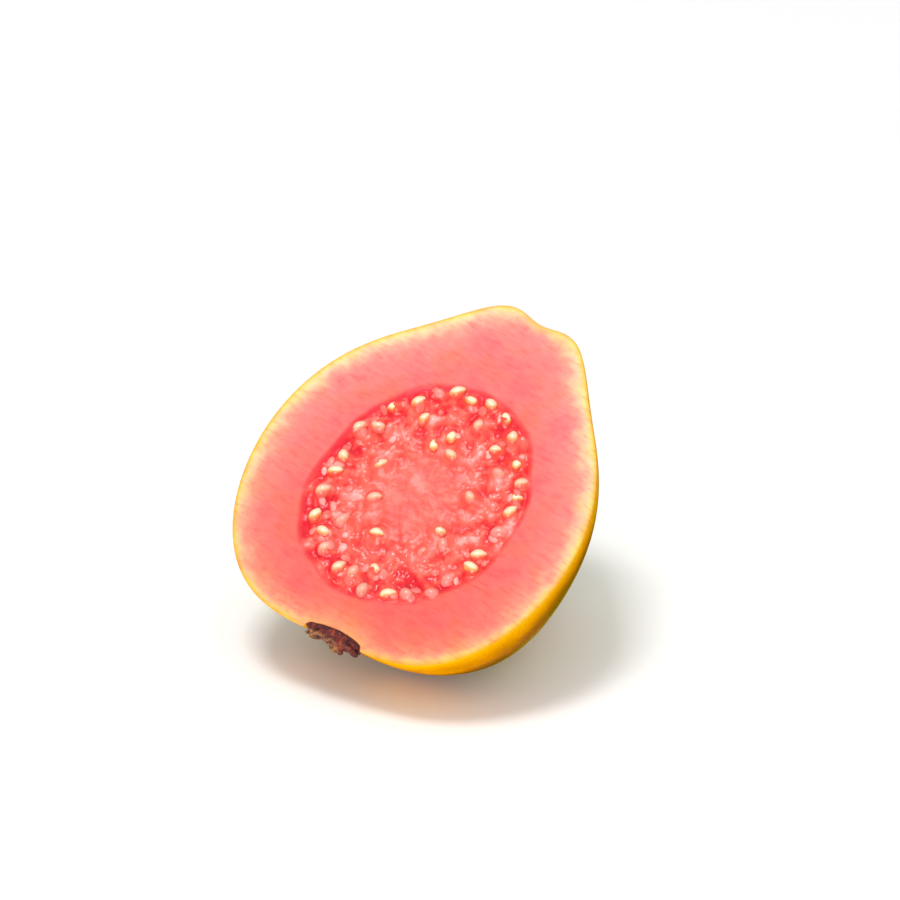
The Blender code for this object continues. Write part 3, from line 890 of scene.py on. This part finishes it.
def make_relief_tree():
    measures = ("Lump Height", "Lump Size", "Grain Height", "Grain Size", "Gel Rise", "Gel Reach")
    sockets = [("Seeds", "NodeSocketObject"), ("Up", "NodeSocketVector"), ("Flesh", "NodeSocketMaterial")]
    sockets += [(measure, "NodeSocketFloat") for measure in measures]
    tree, given, result = new_tree("pulp_relief", sockets)
    reach = add(tree, "GeometryNodeInputNamedAttribute", NUMBER, {"Name": "reach"})
    fading = {"Value": reach, "From Min": 1.0, "From Max": 1.0 - RELIEF_EDGE}
    inside = add(tree, "ShaderNodeMapRange", SMOOTH, fading)
    calming = {"From Min": 0.20, "From Max": 0.70, "To Min": 1.0 - CALM_MIDDLE, "To Max": 1.0}
    calm = add(tree, "ShaderNodeMapRange", SMOOTH, {"Value": reach, **calming})

    # Two sizes of noise: the lumps, and the grain, which tells less in the colour. Each swings by half
    # about zero, so the sum is doubled to reach its height
    place = add(tree, "GeometryNodeInputPosition")
    swings, heights = [], []
    for size in ("Lump", "Grain"):
        per_metre = add(tree, "ShaderNodeMath", OVER, {0: 1.0, 1: given[size + " Size"]})
        links = {"Vector": place, "Scale": per_metre, "Detail": 1.0}
        noise_at = add(tree, "ShaderNodeTexNoise", links=links)
        swings.append(add(tree, "ShaderNodeMath", MINUS, {0: noise_at, 1: 0.5}))
        heights.append(add(tree, "ShaderNodeMath", TIMES, {0: swings[-1], 1: given[size + " Height"]}))
    lump = add(tree, "ShaderNodeMath", TIMES_PLUS, {0: swings[1], 1: GRAIN_IN_COLOUR, 2: swings[0]})
    lumpy = add(tree, "ShaderNodeMath", {"operation": "ADD"}, {0: heights[0], 1: heights[1]})
    both_ways = add(tree, "ShaderNodeMath", TIMES, {0: lumpy, 1: 2.0})
    calmed = add(tree, "ShaderNodeMath", TIMES, {0: both_ways, 1: calm})

    # The gel: 1 at a seed and 0 past its reach
    seeds = add(tree, "GeometryNodeObjectInfo", IN_PLACE, {"Object": given["Seeds"]})
    points = {"Geometry": seeds.outputs["Geometry"]}
    near = add(tree, "GeometryNodeProximity", {"target_element": "POINTS"}, points)
    gel_range = {"From Min": given["Gel Reach"], "From Max": 0.0}
    gel = add(tree, "ShaderNodeMapRange", SMOOTH, {"Value": near.outputs["Distance"], **gel_range})
    swollen = add(tree, "ShaderNodeMath", TIMES_PLUS, {0: gel, 1: given["Gel Rise"], 2: calmed})
    lift = add(tree, "ShaderNodeMath", TIMES, {0: swollen, 1: inside})
    offset = add(tree, "ShaderNodeVectorMath", SCALED, {0: given["Up"], "Scale": lift})
    shape = add(tree, "GeometryNodeSetPosition", links={"Geometry": given["Geometry"], "Offset": offset})
    for label, value in (("gel", gel), ("lump", lump)):
        inner = add(tree, "ShaderNodeMath", TIMES, {0: value, 1: inside})
        kept = {"Geometry": shape, "Name": label, "Value": inner}
        shape = add(tree, "GeometryNodeStoreNamedAttribute", {**NUMBER, "domain": "POINT"}, kept)
    real = add(tree, "GeometryNodeRealizeInstances", links={"Geometry": shape})
    cut = add(tree, "GeometryNodeInputNamedAttribute", {"data_type": "BOOLEAN"}, {"Name": "cut_face"})
    on_cut = {"Geometry": real, "Selection": cut, "Material": given["Flesh"]}
    dressed = add(tree, "GeometryNodeSetMaterial", links=on_cut)
    tree.links.new(dressed.outputs[0], result)
    return tree


relief_tree = make_relief_tree()
print(relief_tree.name, "has", len(relief_tree.nodes), "nodes")

# %% Raise the pulp
relief_values = {
    "Seeds": seed_spots,
    "Up": cut_normal,
    "Lump Height": LUMP_HEIGHT,
    "Lump Size": LUMP_SIZE,
    "Grain Height": GRAIN_HEIGHT,
    "Grain Size": GRAIN_SIZE,
    "Gel Rise": GEL_RISE,
    "Gel Reach": GEL_REACH,
    "Flesh": flesh,
}
apply_tree(half, relief_tree, relief_values)
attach(half, "root")
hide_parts("fruit_half")
print("half has", len(half.data.polygons), "faces and the materials", [m.name for m in half.data.materials])

# %% [markdown]
# ## Finish: sacs of wet gel
# Between the seeds the pulp is made of small juicy sacs, pale pink on top and so wet that each has
# its own glint. They could be painted as spots, but only real bumps catch the light. Their pale tops
# are partly their own tone and partly a painted highlight. A node tree strews them over the pulp,
# most densely near the seeds, and keeps their middles apart.

# %% Material of the sacs
# Tones of the sacs' tops; the pale end stands partly for a painted highlight
SAC_TONES_AND_SHEEN = [(0.0, "#E4665C"), (0.5, "#E67E76"), (1.0, "#ECABA5")]
SAC_SIDE_TONE = "#E66A5E"
GEL_LOOK = {
    "Roughness": 0.14,
    "IOR": 1.38,
    "Subsurface Weight": 0.1,
    "Subsurface Radius": (1.0, 0.5, 0.4),
    "Subsurface Scale": 0.4 * MM,
}


def make_gel():
    """Tops of a random tone, the pale ones partly painted highlight, and sides of the pulp's coral to melt
    into the bed.
    """
    material, tree = new_material("guava_gel_wet")
    tone = add(tree, "ShaderNodeAttribute", {"attribute_name": "tone"}).outputs["Fac"]
    facing = add(tree, "ShaderNodeAttribute", {"attribute_name": "facing_up"}).outputs["Fac"]
    tones = add(tree, "ShaderNodeValToRGB", links={"Fac": tone}, stops=SAC_TONES_AND_SHEEN)
    # Tops take the random tone, pale ones as a painted highlight, and the sides keep the coral
    top = add(tree, "ShaderNodeMapRange", links={"Value": facing, "From Min": 0.60, "From Max": 0.92})
    tops_with_painted_sheen = add(tree, "ShaderNodeMix", RGBA, {"Factor": top, COLOUR_A: SAC_SIDE_TONE, COLOUR_B: tones})
    shader = add(tree, "ShaderNodeBsdfPrincipled", links={"Base Color": tops_with_painted_sheen, **GEL_LOOK})
    add(tree, "ShaderNodeOutputMaterial", links={"Surface": shader})
    return material


gel_look = make_gel()
print("made", gel_look.name)

# %% Shape of one sac
SAC_FACETS = (12, 8)
SAC_RADIUS = 0.00075
SAC_SUNK = 0.0003
SAC_UNEVEN = 0.15


def to_mesh(shape, name):
    """Turns a finished shape into a smooth mesh."""
    mesh = bpy.data.meshes.new(name)
    shape.to_mesh(mesh)
    shape.free()
    mesh.shade_smooth()
    return mesh


def sac_shape():
    """A drop of few faces, a little lopsided, with its foot below the surface."""
    shape = bmesh.new()
    bmesh.ops.create_uvsphere(shape, u_segments=SAC_FACETS[0], v_segments=SAC_FACETS[1], radius=SAC_RADIUS)
    for vert in shape.verts:
        vert.co *= 1.0 + SAC_UNEVEN * noise.noise(vert.co / SAC_RADIUS)
        vert.co.z -= SAC_SUNK
    return to_mesh(shape, "one_sac")


one_sac = new_object("one_sac", sac_shape())
sac_faces = len(one_sac.data.polygons)
print("a sac has", sac_faces, "faces")

# %% Node tree that strews the sacs
SAC_APART = 0.0020
SACS_PER_SQUARE_METRE = 600000.0
SAC_SIZES = ((1.0, 0.9, 0.40), (2.1, 1.6, 0.60))
SAC_DRAW = 11
SAC_FIRST_REACH = 0.40
SAC_FULL_REACH = 0.7
SAC_LAST_REACH = 0.97
SAC_EDGE = 0.03
SAC_LEAST = 0.12
FULL_TURN = (0.0, 0.0, 2.0 * math.pi)
VECTOR = {"data_type": "FLOAT_VECTOR"}
DOT = {"operation": "DOT_PRODUCT"}


def make_sac_tree():
    tree, given, result = new_tree(
        "gel_sacs",
        [
            ("Pulp", "NodeSocketObject"),
            ("Sac", "NodeSocketObject"),
            ("Up", "NodeSocketVector"),
            ("Apart", "NodeSocketFloat"),
            ("Density", "NodeSocketFloat"),
            ("Seed", "NodeSocketInt"),
            ("Material", "NodeSocketMaterial"),
        ],
    )

    # Where sacs may be: in a ring of the pulp, most of all near a seed, but not against it
    pulp = add(tree, "GeometryNodeObjectInfo", IN_PLACE, {"Object": given["Pulp"]})
    reach = add(tree, "GeometryNodeInputNamedAttribute", NUMBER, {"Name": "reach"})
    gel = add(tree, "GeometryNodeInputNamedAttribute", NUMBER, {"Name": "gel"})
    ranges = [
        {"Value": reach, "From Min": SAC_FIRST_REACH, "From Max": SAC_FULL_REACH},
        {"Value": gel, "From Min": 0.55, "From Max": 0.45},
        {"Value": reach, "From Min": SAC_LAST_REACH, "From Max": SAC_LAST_REACH - SAC_EDGE},
        {"Value": gel, "From Max": 0.3, "To Min": SAC_LEAST, "To Max": 1.0},
    ]
    share = 1.0
    for limits in ranges:
        limit = add(tree, "ShaderNodeMapRange", links=limits)
        share = add(tree, "ShaderNodeMath", TIMES, {0: share, 1: limit})
    drawing = {
        "Mesh": pulp.outputs["Geometry"],
        "Distance Min": given["Apart"],
        "Density Max": given["Density"],
        "Density Factor": share,
        "Seed": given["Seed"],
    }
    strewn = add(tree, "GeometryNodeDistributePointsOnFaces", {"distribute_method": "POISSON"}, drawing)

    # Random Value has its vector sockets first and its number sockets next
    draw = {"Seed": given["Seed"]}
    stretch = add(tree, "FunctionNodeRandomValue", VECTOR, {0: SAC_SIZES[0], 1: SAC_SIZES[1], **draw})
    turned = add(tree, "FunctionNodeRandomValue", VECTOR, {0: (0.0, 0.0, 0.0), 1: FULL_TURN, **draw})
    turning = {"Rotation": strewn.outputs["Rotation"], "Rotate By": turned}
    turn = add(tree, "FunctionNodeRotateRotation", {"rotation_space": "LOCAL"}, turning)
    sac = add(tree, "GeometryNodeObjectInfo", links={"Object": given["Sac"]}).outputs["Geometry"]
    planting = {"Points": strewn, "Instance": sac, "Rotation": turn, "Scale": stretch}
    planted = add(tree, "GeometryNodeInstanceOnPoints", links=planting)
    tone = add(tree, "FunctionNodeRandomValue", NUMBER, {2: 0.0, 3: 1.0, **draw})
    kept = {"Geometry": planted, "Name": "tone", "Value": tone}
    toned = add(tree, "GeometryNodeStoreNamedAttribute", {**NUMBER, "domain": "INSTANCE"}, kept)
    real = add(tree, "GeometryNodeRealizeInstances", links={"Geometry": toned})
    # How each point of a sac faces away from the cut, so that its top can be painted paler as a highlight
    normal = add(tree, "GeometryNodeInputNormal")
    facing = add(tree, "ShaderNodeVectorMath", DOT, {0: normal, 1: given["Up"]})
    kept = {"Geometry": real, "Name": "facing_up", "Value": facing}
    faced = add(tree, "GeometryNodeStoreNamedAttribute", {**NUMBER, "domain": "POINT"}, kept)
    dressed = add(tree, "GeometryNodeSetMaterial", links={"Geometry": faced, "Material": given["Material"]})
    tree.links.new(dressed.outputs[0], result)
    return tree


sac_tree = make_sac_tree()
print(sac_tree.name, "has", len(sac_tree.nodes), "nodes")

# %% Strew the sacs
sacs = new_object("gel_sacs", bpy.data.meshes.new("gel_sacs"))
sac_values = {
    "Pulp": half,
    "Sac": one_sac,
    "Up": cut_normal,
    "Apart": SAC_APART,
    "Density": SACS_PER_SQUARE_METRE,
    "Seed": SAC_DRAW,
    "Material": gel_look,
}
apply_tree(sacs, sac_tree, sac_values)
bpy.data.objects.remove(one_sac)
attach(sacs, "root")
print(len(sacs.data.polygons) // sac_faces, "sacs")

# %% [markdown]
# ## The seeds
# A guava seed is a hard, pale, slightly angular drop about 3.5 mm long. It shows its own cream,
# lightest on the side that faces out of the cut and towards the stem as a painted highlight, and turns
# orange to red towards the calyx, painted shade with a little of the gel's tint at its foot. One drop
# is modelled from a sphere, and a node tree sets it on each point with that point's size and turn.

# %% Material of the seeds
SEED_CLOUD_PER_MM = 0.8
SEED_CLOUD_SHARE = 0.6
# From red at the foot to cream: painted shade towards the calyx, a painted highlight on the other side
SEED_TONES_SHADED_TO_LIT = [(0.40, "#E2482F"), (0.66, "#E88A4C"), (0.86, "#EDBE84"), (1.0, "#F2DDB8")]
VEIL_TONE = "#E68078"
SEED_LOOK = {
    "Roughness": 0.16,
    "IOR": 1.48,
    "Subsurface Weight": 0.3,
    "Subsurface Radius": (1.0, 0.6, 0.4),
    "Subsurface Scale": 0.7 * MM,
}


def make_seed_shell():
    material, tree = new_material("guava_seed_hard_shell")
    place = add(tree, "ShaderNodeAttribute", {"attribute_name": "seed_mm"}).outputs["Vector"]
    bare = add(tree, "ShaderNodeAttribute", {"attribute_name": "bare"}).outputs["Fac"]
    veil = add(tree, "ShaderNodeAttribute", {"attribute_name": "veil"}).outputs["Fac"]
    clouds = {"Vector": place, "Scale": SEED_CLOUD_PER_MM, "Detail": 3.0}
    cloud = add(tree, "ShaderNodeTexNoise", links=clouds)
    # Lightest where the seed faces the side painted light, orange to red away from it: painted highlight and
    # shade
    level = add(tree, "ShaderNodeMath", TIMES_PLUS, {0: cloud, 1: SEED_CLOUD_SHARE, 2: bare})
    tones = add(tree, "ShaderNodeValToRGB", links={"Fac": level}, stops=SEED_TONES_SHADED_TO_LIT)
    veiled = add(tree, "ShaderNodeMix", RGBA, {"Factor": veil, COLOUR_A: tones, COLOUR_B: VEIL_TONE})
    shader = add(tree, "ShaderNodeBsdfPrincipled", links={"Base Color": veiled, **SEED_LOOK})
    add(tree, "ShaderNodeOutputMaterial", links={"Surface": shader})
    return material


seed_shell = make_seed_shell()
print("made", seed_shell.name)

# %% Shape of one seed
SEED_FACETS = (14, 10)
SEED_TAPER = 0.30
SEED_DENTS = 0.10
SEED_DENTS_ACROSS = 1.4


def seed_shape():
    """One drop: an egg that tapers to one end, a little flattened in places."""
    shape = bmesh.new()
    bmesh.ops.create_uvsphere(shape, u_segments=SEED_FACETS[0], v_segments=SEED_FACETS[1], radius=1.0)
    bmesh.ops.rotate(shape, matrix=Matrix.Rotation(0.5 * math.pi, 3, "Y"), verts=shape.verts[:])
    for vert in shape.verts:
        dents = 1.0 + SEED_DENTS * noise.noise(vert.co * SEED_DENTS_ACROSS)
        slim = 1.0 - SEED_TAPER * max(0.0, vert.co.x) ** 2
        width = vert.co.y * SEED_HALF_WIDTH * slim * dents
        height = vert.co.z * SEED_HALF_HEIGHT * slim * dents
        vert.co = Vector((vert.co.x * SEED_HALF_LENGTH, width, height))
    bmesh.ops.recalc_face_normals(shape, faces=shape.faces[:])
    return to_mesh(shape, "one_seed")


one_seed = new_object("one_seed", seed_shape())
print("a seed has", len(one_seed.data.polygons), "faces")

# %% Node tree that plants the seeds
# The side of every seed that is painted light; the far side is painted shade
PAINTED_LIGHT_SIDE = (rest_turn @ Vector((-0.30, 0.60, 0.74))).normalized()


def make_planting_tree():
    """Sets one object on every point, by the point's own size and turn, and stores how it faces the painted
    light.
    """
    sockets = [("Object", "NodeSocketObject"), ("Bare Side", "NodeSocketVector")]
    sockets.append(("Material", "NodeSocketMaterial"))
    tree, given, result = new_tree("plant_on_points", sockets)
    shape = add(tree, "GeometryNodeObjectInfo", links={"Object": given["Object"]}).outputs["Geometry"]
    turn = add(tree, "GeometryNodeInputNamedAttribute", VECTOR, {"Name": "turn"})
    size = add(tree, "GeometryNodeInputNamedAttribute", NUMBER, {"Name": "size"})
    planting = {"Points": given["Geometry"], "Instance": shape, "Rotation": turn, "Scale": size}
    planted = add(tree, "GeometryNodeInstanceOnPoints", links=planting)
    real = add(tree, "GeometryNodeRealizeInstances", links={"Geometry": planted})
    place = add(tree, "GeometryNodeInputPosition")
    in_mm = add(tree, "ShaderNodeVectorMath", SCALED, {0: place, "Scale": 1.0 / MM})
    kept = {"Geometry": real, "Name": "seed_mm", "Value": in_mm}
    placed = add(tree, "GeometryNodeStoreNamedAttribute", {**VECTOR, "domain": "POINT"}, kept)
    # How each point of a seed faces the side painted light, for its painted highlight and shade
    normal = add(tree, "GeometryNodeInputNormal")
    facing = add(tree, "ShaderNodeVectorMath", DOT, {0: normal, 1: given["Bare Side"]})
    kept = {"Geometry": placed, "Name": "bare", "Value": facing}
    bare = add(tree, "GeometryNodeStoreNamedAttribute", {**NUMBER, "domain": "POINT"}, kept)
    dressed = add(tree, "GeometryNodeSetMaterial", links={"Geometry": bare, "Material": given["Material"]})
    tree.links.new(dressed.outputs[0], result)
    return tree


planting_tree = make_planting_tree()
print(planting_tree.name, "has", len(planting_tree.nodes), "nodes")

# %% Plant the seeds
seed_values = {"Object": one_seed, "Bare Side": PAINTED_LIGHT_SIDE, "Material": seed_shell}
apply_tree(seed_spots, planting_tree, seed_values)
bpy.data.objects.remove(one_seed)
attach(seed_spots, "root")
print("seeds have", len(seed_spots.data.polygons), "faces")

# %% [markdown]
# ## The dry calyx
# The flower's calyx stays on the fruit and dries to a dark, brittle crust with a few short sepals. The
# knife went through it too, so it ends flat at the cut. It is modelled as a wrinkled half disc and
# leathery blades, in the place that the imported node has. It fills the gap that the solids keep. The
# noise that wrinkles it starts somewhere else in each session unless it has a seed, so it gets one.

# %% Material of the calyx
BLOTCHES_PER_MM = 0.8
CREASES_PER_MM = 2.6
CREASE_RELIEF = 0.3 * MM
DRY_TONES = [(0.34, "#2A0406"), (0.50, "#520C08"), (0.60, "#86260C"), (0.72, "#B5602A")]
BLEACHED_TONE = "#AE7640"


def make_dry_leaf():
    material, tree = new_material("calyx_dead_dry_leaf")
    place = add(tree, "ShaderNodeAttribute", {"attribute_name": "dry_mm"}).outputs["Vector"]
    patchy = {"Vector": place, "Scale": BLOTCHES_PER_MM, "Detail": 6.0, "Roughness": 0.7}
    blotches = add(tree, "ShaderNodeTexNoise", links=patchy)
    tones = add(tree, "ShaderNodeValToRGB", links={"Fac": blotches}, stops=DRY_TONES)

    # The outer edge of one side is bleached to tan in blotches
    apart = add(tree, "ShaderNodeSeparateXYZ", links={"Vector": place}).outputs
    outer = add(tree, "ShaderNodeMapRange", links={"Value": apart["Z"], "From Min": 0.1, "From Max": 0.7})
    side = add(tree, "ShaderNodeMapRange", links={"Value": apart["X"], "From Min": 1.0, "From Max": -0.5})
    pale = add(tree, "ShaderNodeMapRange", links={"Value": blotches, "From Min": 0.40, "From Max": 0.58})
    edge = add(tree, "ShaderNodeMath", TIMES, {0: outer, 1: side})
    lip = add(tree, "ShaderNodeMath", TIMES, {0: edge, 1: pale})
    bleached = add(tree, "ShaderNodeMix", RGBA, {"Factor": lip, COLOUR_A: tones, COLOUR_B: BLEACHED_TONE})
    creases = add(tree, "ShaderNodeTexNoise", links={"Vector": place, "Scale": CREASES_PER_MM, "Detail": 5.0})
    bump = add(tree, "ShaderNodeBump", links={"Height": creases, "Strength": 0.8, "Distance": CREASE_RELIEF})
    look = {"Base Color": bleached, "Normal": bump, "Roughness": 0.75}
    shader = add(tree, "ShaderNodeBsdfPrincipled", links=look)
    add(tree, "ShaderNodeOutputMaterial", links={"Surface": shader})
    return material


dry_leaf = make_dry_leaf()
print("made", dry_leaf.name)

# %% Shape of the calyx
BOWL_FACETS = (96, 48)
SEPAL_FACETS = (24, 14)
SEPAL_ANGLES = [math.radians(a) for a in (-17.0, -89.0, -161.0)]
SEPAL_ROOT = 0.0026
SEPAL_LENGTH = 0.0030
SEPAL_HALF_WIDTH = 0.0018
SEPAL_POINT = 0.93
SEPAL_LIFT = 0.0014
SEPAL_SUNK = 0.0003
SEPAL_CUP = 0.0003
SEPAL_THICKNESS = 0.0007
WRINKLE = 0.00025
WRINKLE_SIZE = 0.0013
WRINKLE_DRAW = 7


def calyx_place():
    """The calyx's own frame on the fruit: its local +Z points out of the skin, and y = 0 is the cut."""
    side = CUT_FACE.cross(CALYX_AXIS)
    turn = Matrix((side, CUT_FACE, CALYX_AXIS)).transposed()
    on_skin = CALYX_AXIS * (skin_radius(CALYX_AXIS) - CALYX_SINK)
    own = Matrix.Translation(on_skin) @ turn.to_4x4()
    return Matrix.Translation(MIDDLE_OF_CUT) @ rest_turn.to_4x4() @ own


def cut_flat(shape):
    """Takes off the side of the shape that went with the other half of the fruit, and closes it."""
    everything = shape.verts[:] + shape.edges[:] + shape.faces[:]
    bmesh.ops.bisect_plane(shape, geom=everything, plane_co=(0, 0, 0), plane_no=(0, 1, 0), clear_outer=True)
    border = [edge for edge in shape.edges if edge.is_boundary]
    bmesh.ops.contextual_create(shape, geom=border)


def wrinkled(point):
    """The same point moved a little, as dry tissue shrinks unevenly."""
    return point + noise.noise_vector(point / WRINKLE_SIZE) * WRINKLE


def bowl_shape():
    """The half disc that fills the seat."""
    shape = bmesh.new()
    bmesh.ops.create_uvsphere(shape, u_segments=BOWL_FACETS[0], v_segments=BOWL_FACETS[1], radius=1.0)
    radius = CALYX_RADIUS + CALYX_GAP
    for vert in shape.verts:
        height = CALYX_DISH if vert.co.z > 0.0 else CALYX_DEPTH + CALYX_GAP
        vert.co = wrinkled(Vector((vert.co.x * radius, vert.co.y * radius, vert.co.z * height)))
    cut_flat(shape)
    return shape


def sepal_shape(angle):
    """A short pointed blade that starts inside the disc and rises towards its edge."""
    shape = bmesh.new()
    bmesh.ops.create_grid(shape, x_segments=SEPAL_FACETS[0], y_segments=SEPAL_FACETS[1], size=1.0)
    for vert in shape.verts:
        share = 0.5 * (vert.co.x + 1.0)
        width = SEPAL_HALF_WIDTH * math.sqrt(1.0 - SEPAL_POINT * share**2)
        lift = SEPAL_LIFT * math.sin(0.5 * math.pi * share) - SEPAL_SUNK
        cupped = SEPAL_CUP * vert.co.y**2
        vert.co = wrinkled(Vector((SEPAL_ROOT + SEPAL_LENGTH * share, width * vert.co.y, lift + cupped)))
    bmesh.ops.rotate(shape, matrix=Matrix.Rotation(angle, 3, "Z"), verts=shape.verts[:])
    bmesh.ops.solidify(shape, geom=shape.faces[:], thickness=SEPAL_THICKNESS)
    cut_flat(shape)
    return shape


def make_calyx():
    noise.seed_set(WRINKLE_DRAW)
    joined = bmesh.new()
    for shape in [bowl_shape(), *[sepal_shape(angle) for angle in SEPAL_ANGLES]]:
        bmesh.ops.recalc_face_normals(shape, faces=shape.faces[:])
        part = to_mesh(shape, "calyx_part")
        joined.from_mesh(part)
        bpy.data.meshes.remove(part)
    mesh = to_mesh(joined, "dry_calyx")
    store(mesh, "dry_mm", [tuple(vert.co / MM) for vert in mesh.vertices], "FLOAT_VECTOR")
    mesh.transform(calyx_place())
    return new_object("dry_calyx", mesh, dry_leaf)


# %% Set the calyx in its seat
calyx = make_calyx()
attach(calyx, "root")
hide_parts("calyx")
print("calyx has", len(calyx.data.polygons), "faces")

# %% [markdown]
# ## The camera
# The fruit was photographed from a little above, from well back with a long lens, so that it looks
# nearly free of perspective. The camera stands 30 degrees above the horizon, 0.7 m from the middle of
# the cut, and its lens gives 5.07 pixels for each millimetre there in a 900 pixel picture.

# %% Set the camera
CAMERA_RISE = math.radians(30.0)
CAMERA_DISTANCE = 0.70
PIXELS_PER_MM = 5.07
PICTURE_SIDE = 900
SENSOR_MM = 36.0
CUT_MIDDLE_PIXEL = (423.2, 483.2)
NEAREST = 0.01
FARTHEST = 50.0

looking = Vector((0.0, math.cos(CAMERA_RISE), -math.sin(CAMERA_RISE)))
picture_up = Vector((0.0, math.sin(CAMERA_RISE), math.cos(CAMERA_RISE)))
picture_right = Vector((1.0, 0.0, 0.0))
off_right = (0.5 * PICTURE_SIDE - CUT_MIDDLE_PIXEL[0]) / PIXELS_PER_MM * MM
off_up = (CUT_MIDDLE_PIXEL[1] - 0.5 * PICTURE_SIDE) / PIXELS_PER_MM * MM
camera_data = bpy.data.cameras.new("camera")
camera_data.sensor_width = SENSOR_MM
camera_data.lens = PIXELS_PER_MM * (CAMERA_DISTANCE / MM) / PICTURE_SIDE * SENSOR_MM
camera = bpy.data.objects.new("camera", camera_data)
bpy.context.scene.collection.objects.link(camera)
camera.location = MIDDLE_OF_CUT - looking * CAMERA_DISTANCE
aim = MIDDLE_OF_CUT + picture_right * off_right + picture_up * off_up
camera.rotation_mode = "QUATERNION"
camera.rotation_quaternion = (aim - camera.location).to_track_quat("-Z", "Y")
camera_data.clip_start = NEAREST
camera_data.clip_end = FARTHEST
bpy.context.scene.camera = camera
print("lens", round(camera_data.lens, 1), "mm")

# %% [markdown]
# ## Floor and light
# The picture is high key: a white table in a bright room. A plain world alone would light the sides as
# much as the top and wash the skin's colour out at its edges, so a wide ceiling light does half of its
# work. A smaller lamp gives the wet pulp its glints and the fruit its shadow, and a low one in front
# brightens the skin under the rim. The Standard view keeps the colours as clear as the photograph's.

# %% Set the floor and the lamps
FLOOR_SIDE = 6.0
FLOOR_LOOK = {"Base Color": "#F8F8F8", "Roughness": 0.7}
WORLD_STRENGTH = 0.40
CEILING = {"place": (0.0, 0.0, 1.8), "side": 3.2, "power": 19.5}
GLINT_LAMP = {"place": (-0.22, 0.0, 1.1), "side": 0.30, "power": 5.6}
FRONT_LAMP = {"place": (-0.3, -1.4, 0.22), "side": 0.6, "power": 14.0}


def make_floor():
    shape = bmesh.new()
    bmesh.ops.create_grid(shape, x_segments=1, y_segments=1, size=0.5 * FLOOR_SIDE)
    material, tree = new_material("table_white_laminate")
    shader = add(tree, "ShaderNodeBsdfPrincipled", links=FLOOR_LOOK)
    add(tree, "ShaderNodeOutputMaterial", links={"Surface": shader})
    return new_object("floor", to_mesh(shape, "floor"), material)


def set_world():
    world = bpy.data.worlds.new("white_room")
    world.use_nodes = True
    background = world.node_tree.nodes["Background"]
    background.inputs["Color"].default_value = linear("#FFFFFF")
    background.inputs["Strength"].default_value = WORLD_STRENGTH
    bpy.context.scene.world = world


def add_lamp(name, place, side, power):
    """A square lamp that looks at the fruit."""
    data = bpy.data.lights.new(name, "AREA")
    data.size = side
    data.energy = power
    lamp = bpy.data.objects.new(name, data)
    bpy.context.scene.collection.objects.link(lamp)
    lamp.location = place
    lamp.rotation_mode = "QUATERNION"
    lamp.rotation_quaternion = (-Vector(place)).to_track_quat("-Z", "Y")


make_floor()
set_world()
add_lamp("ceiling", **CEILING)
add_lamp("glint_lamp", **GLINT_LAMP)
add_lamp("front_lamp", **FRONT_LAMP)
bpy.context.scene.view_settings.view_transform = "Standard"
print("lamps of", [lamp["power"] for lamp in (CEILING, GLINT_LAMP, FRONT_LAMP)], "W")
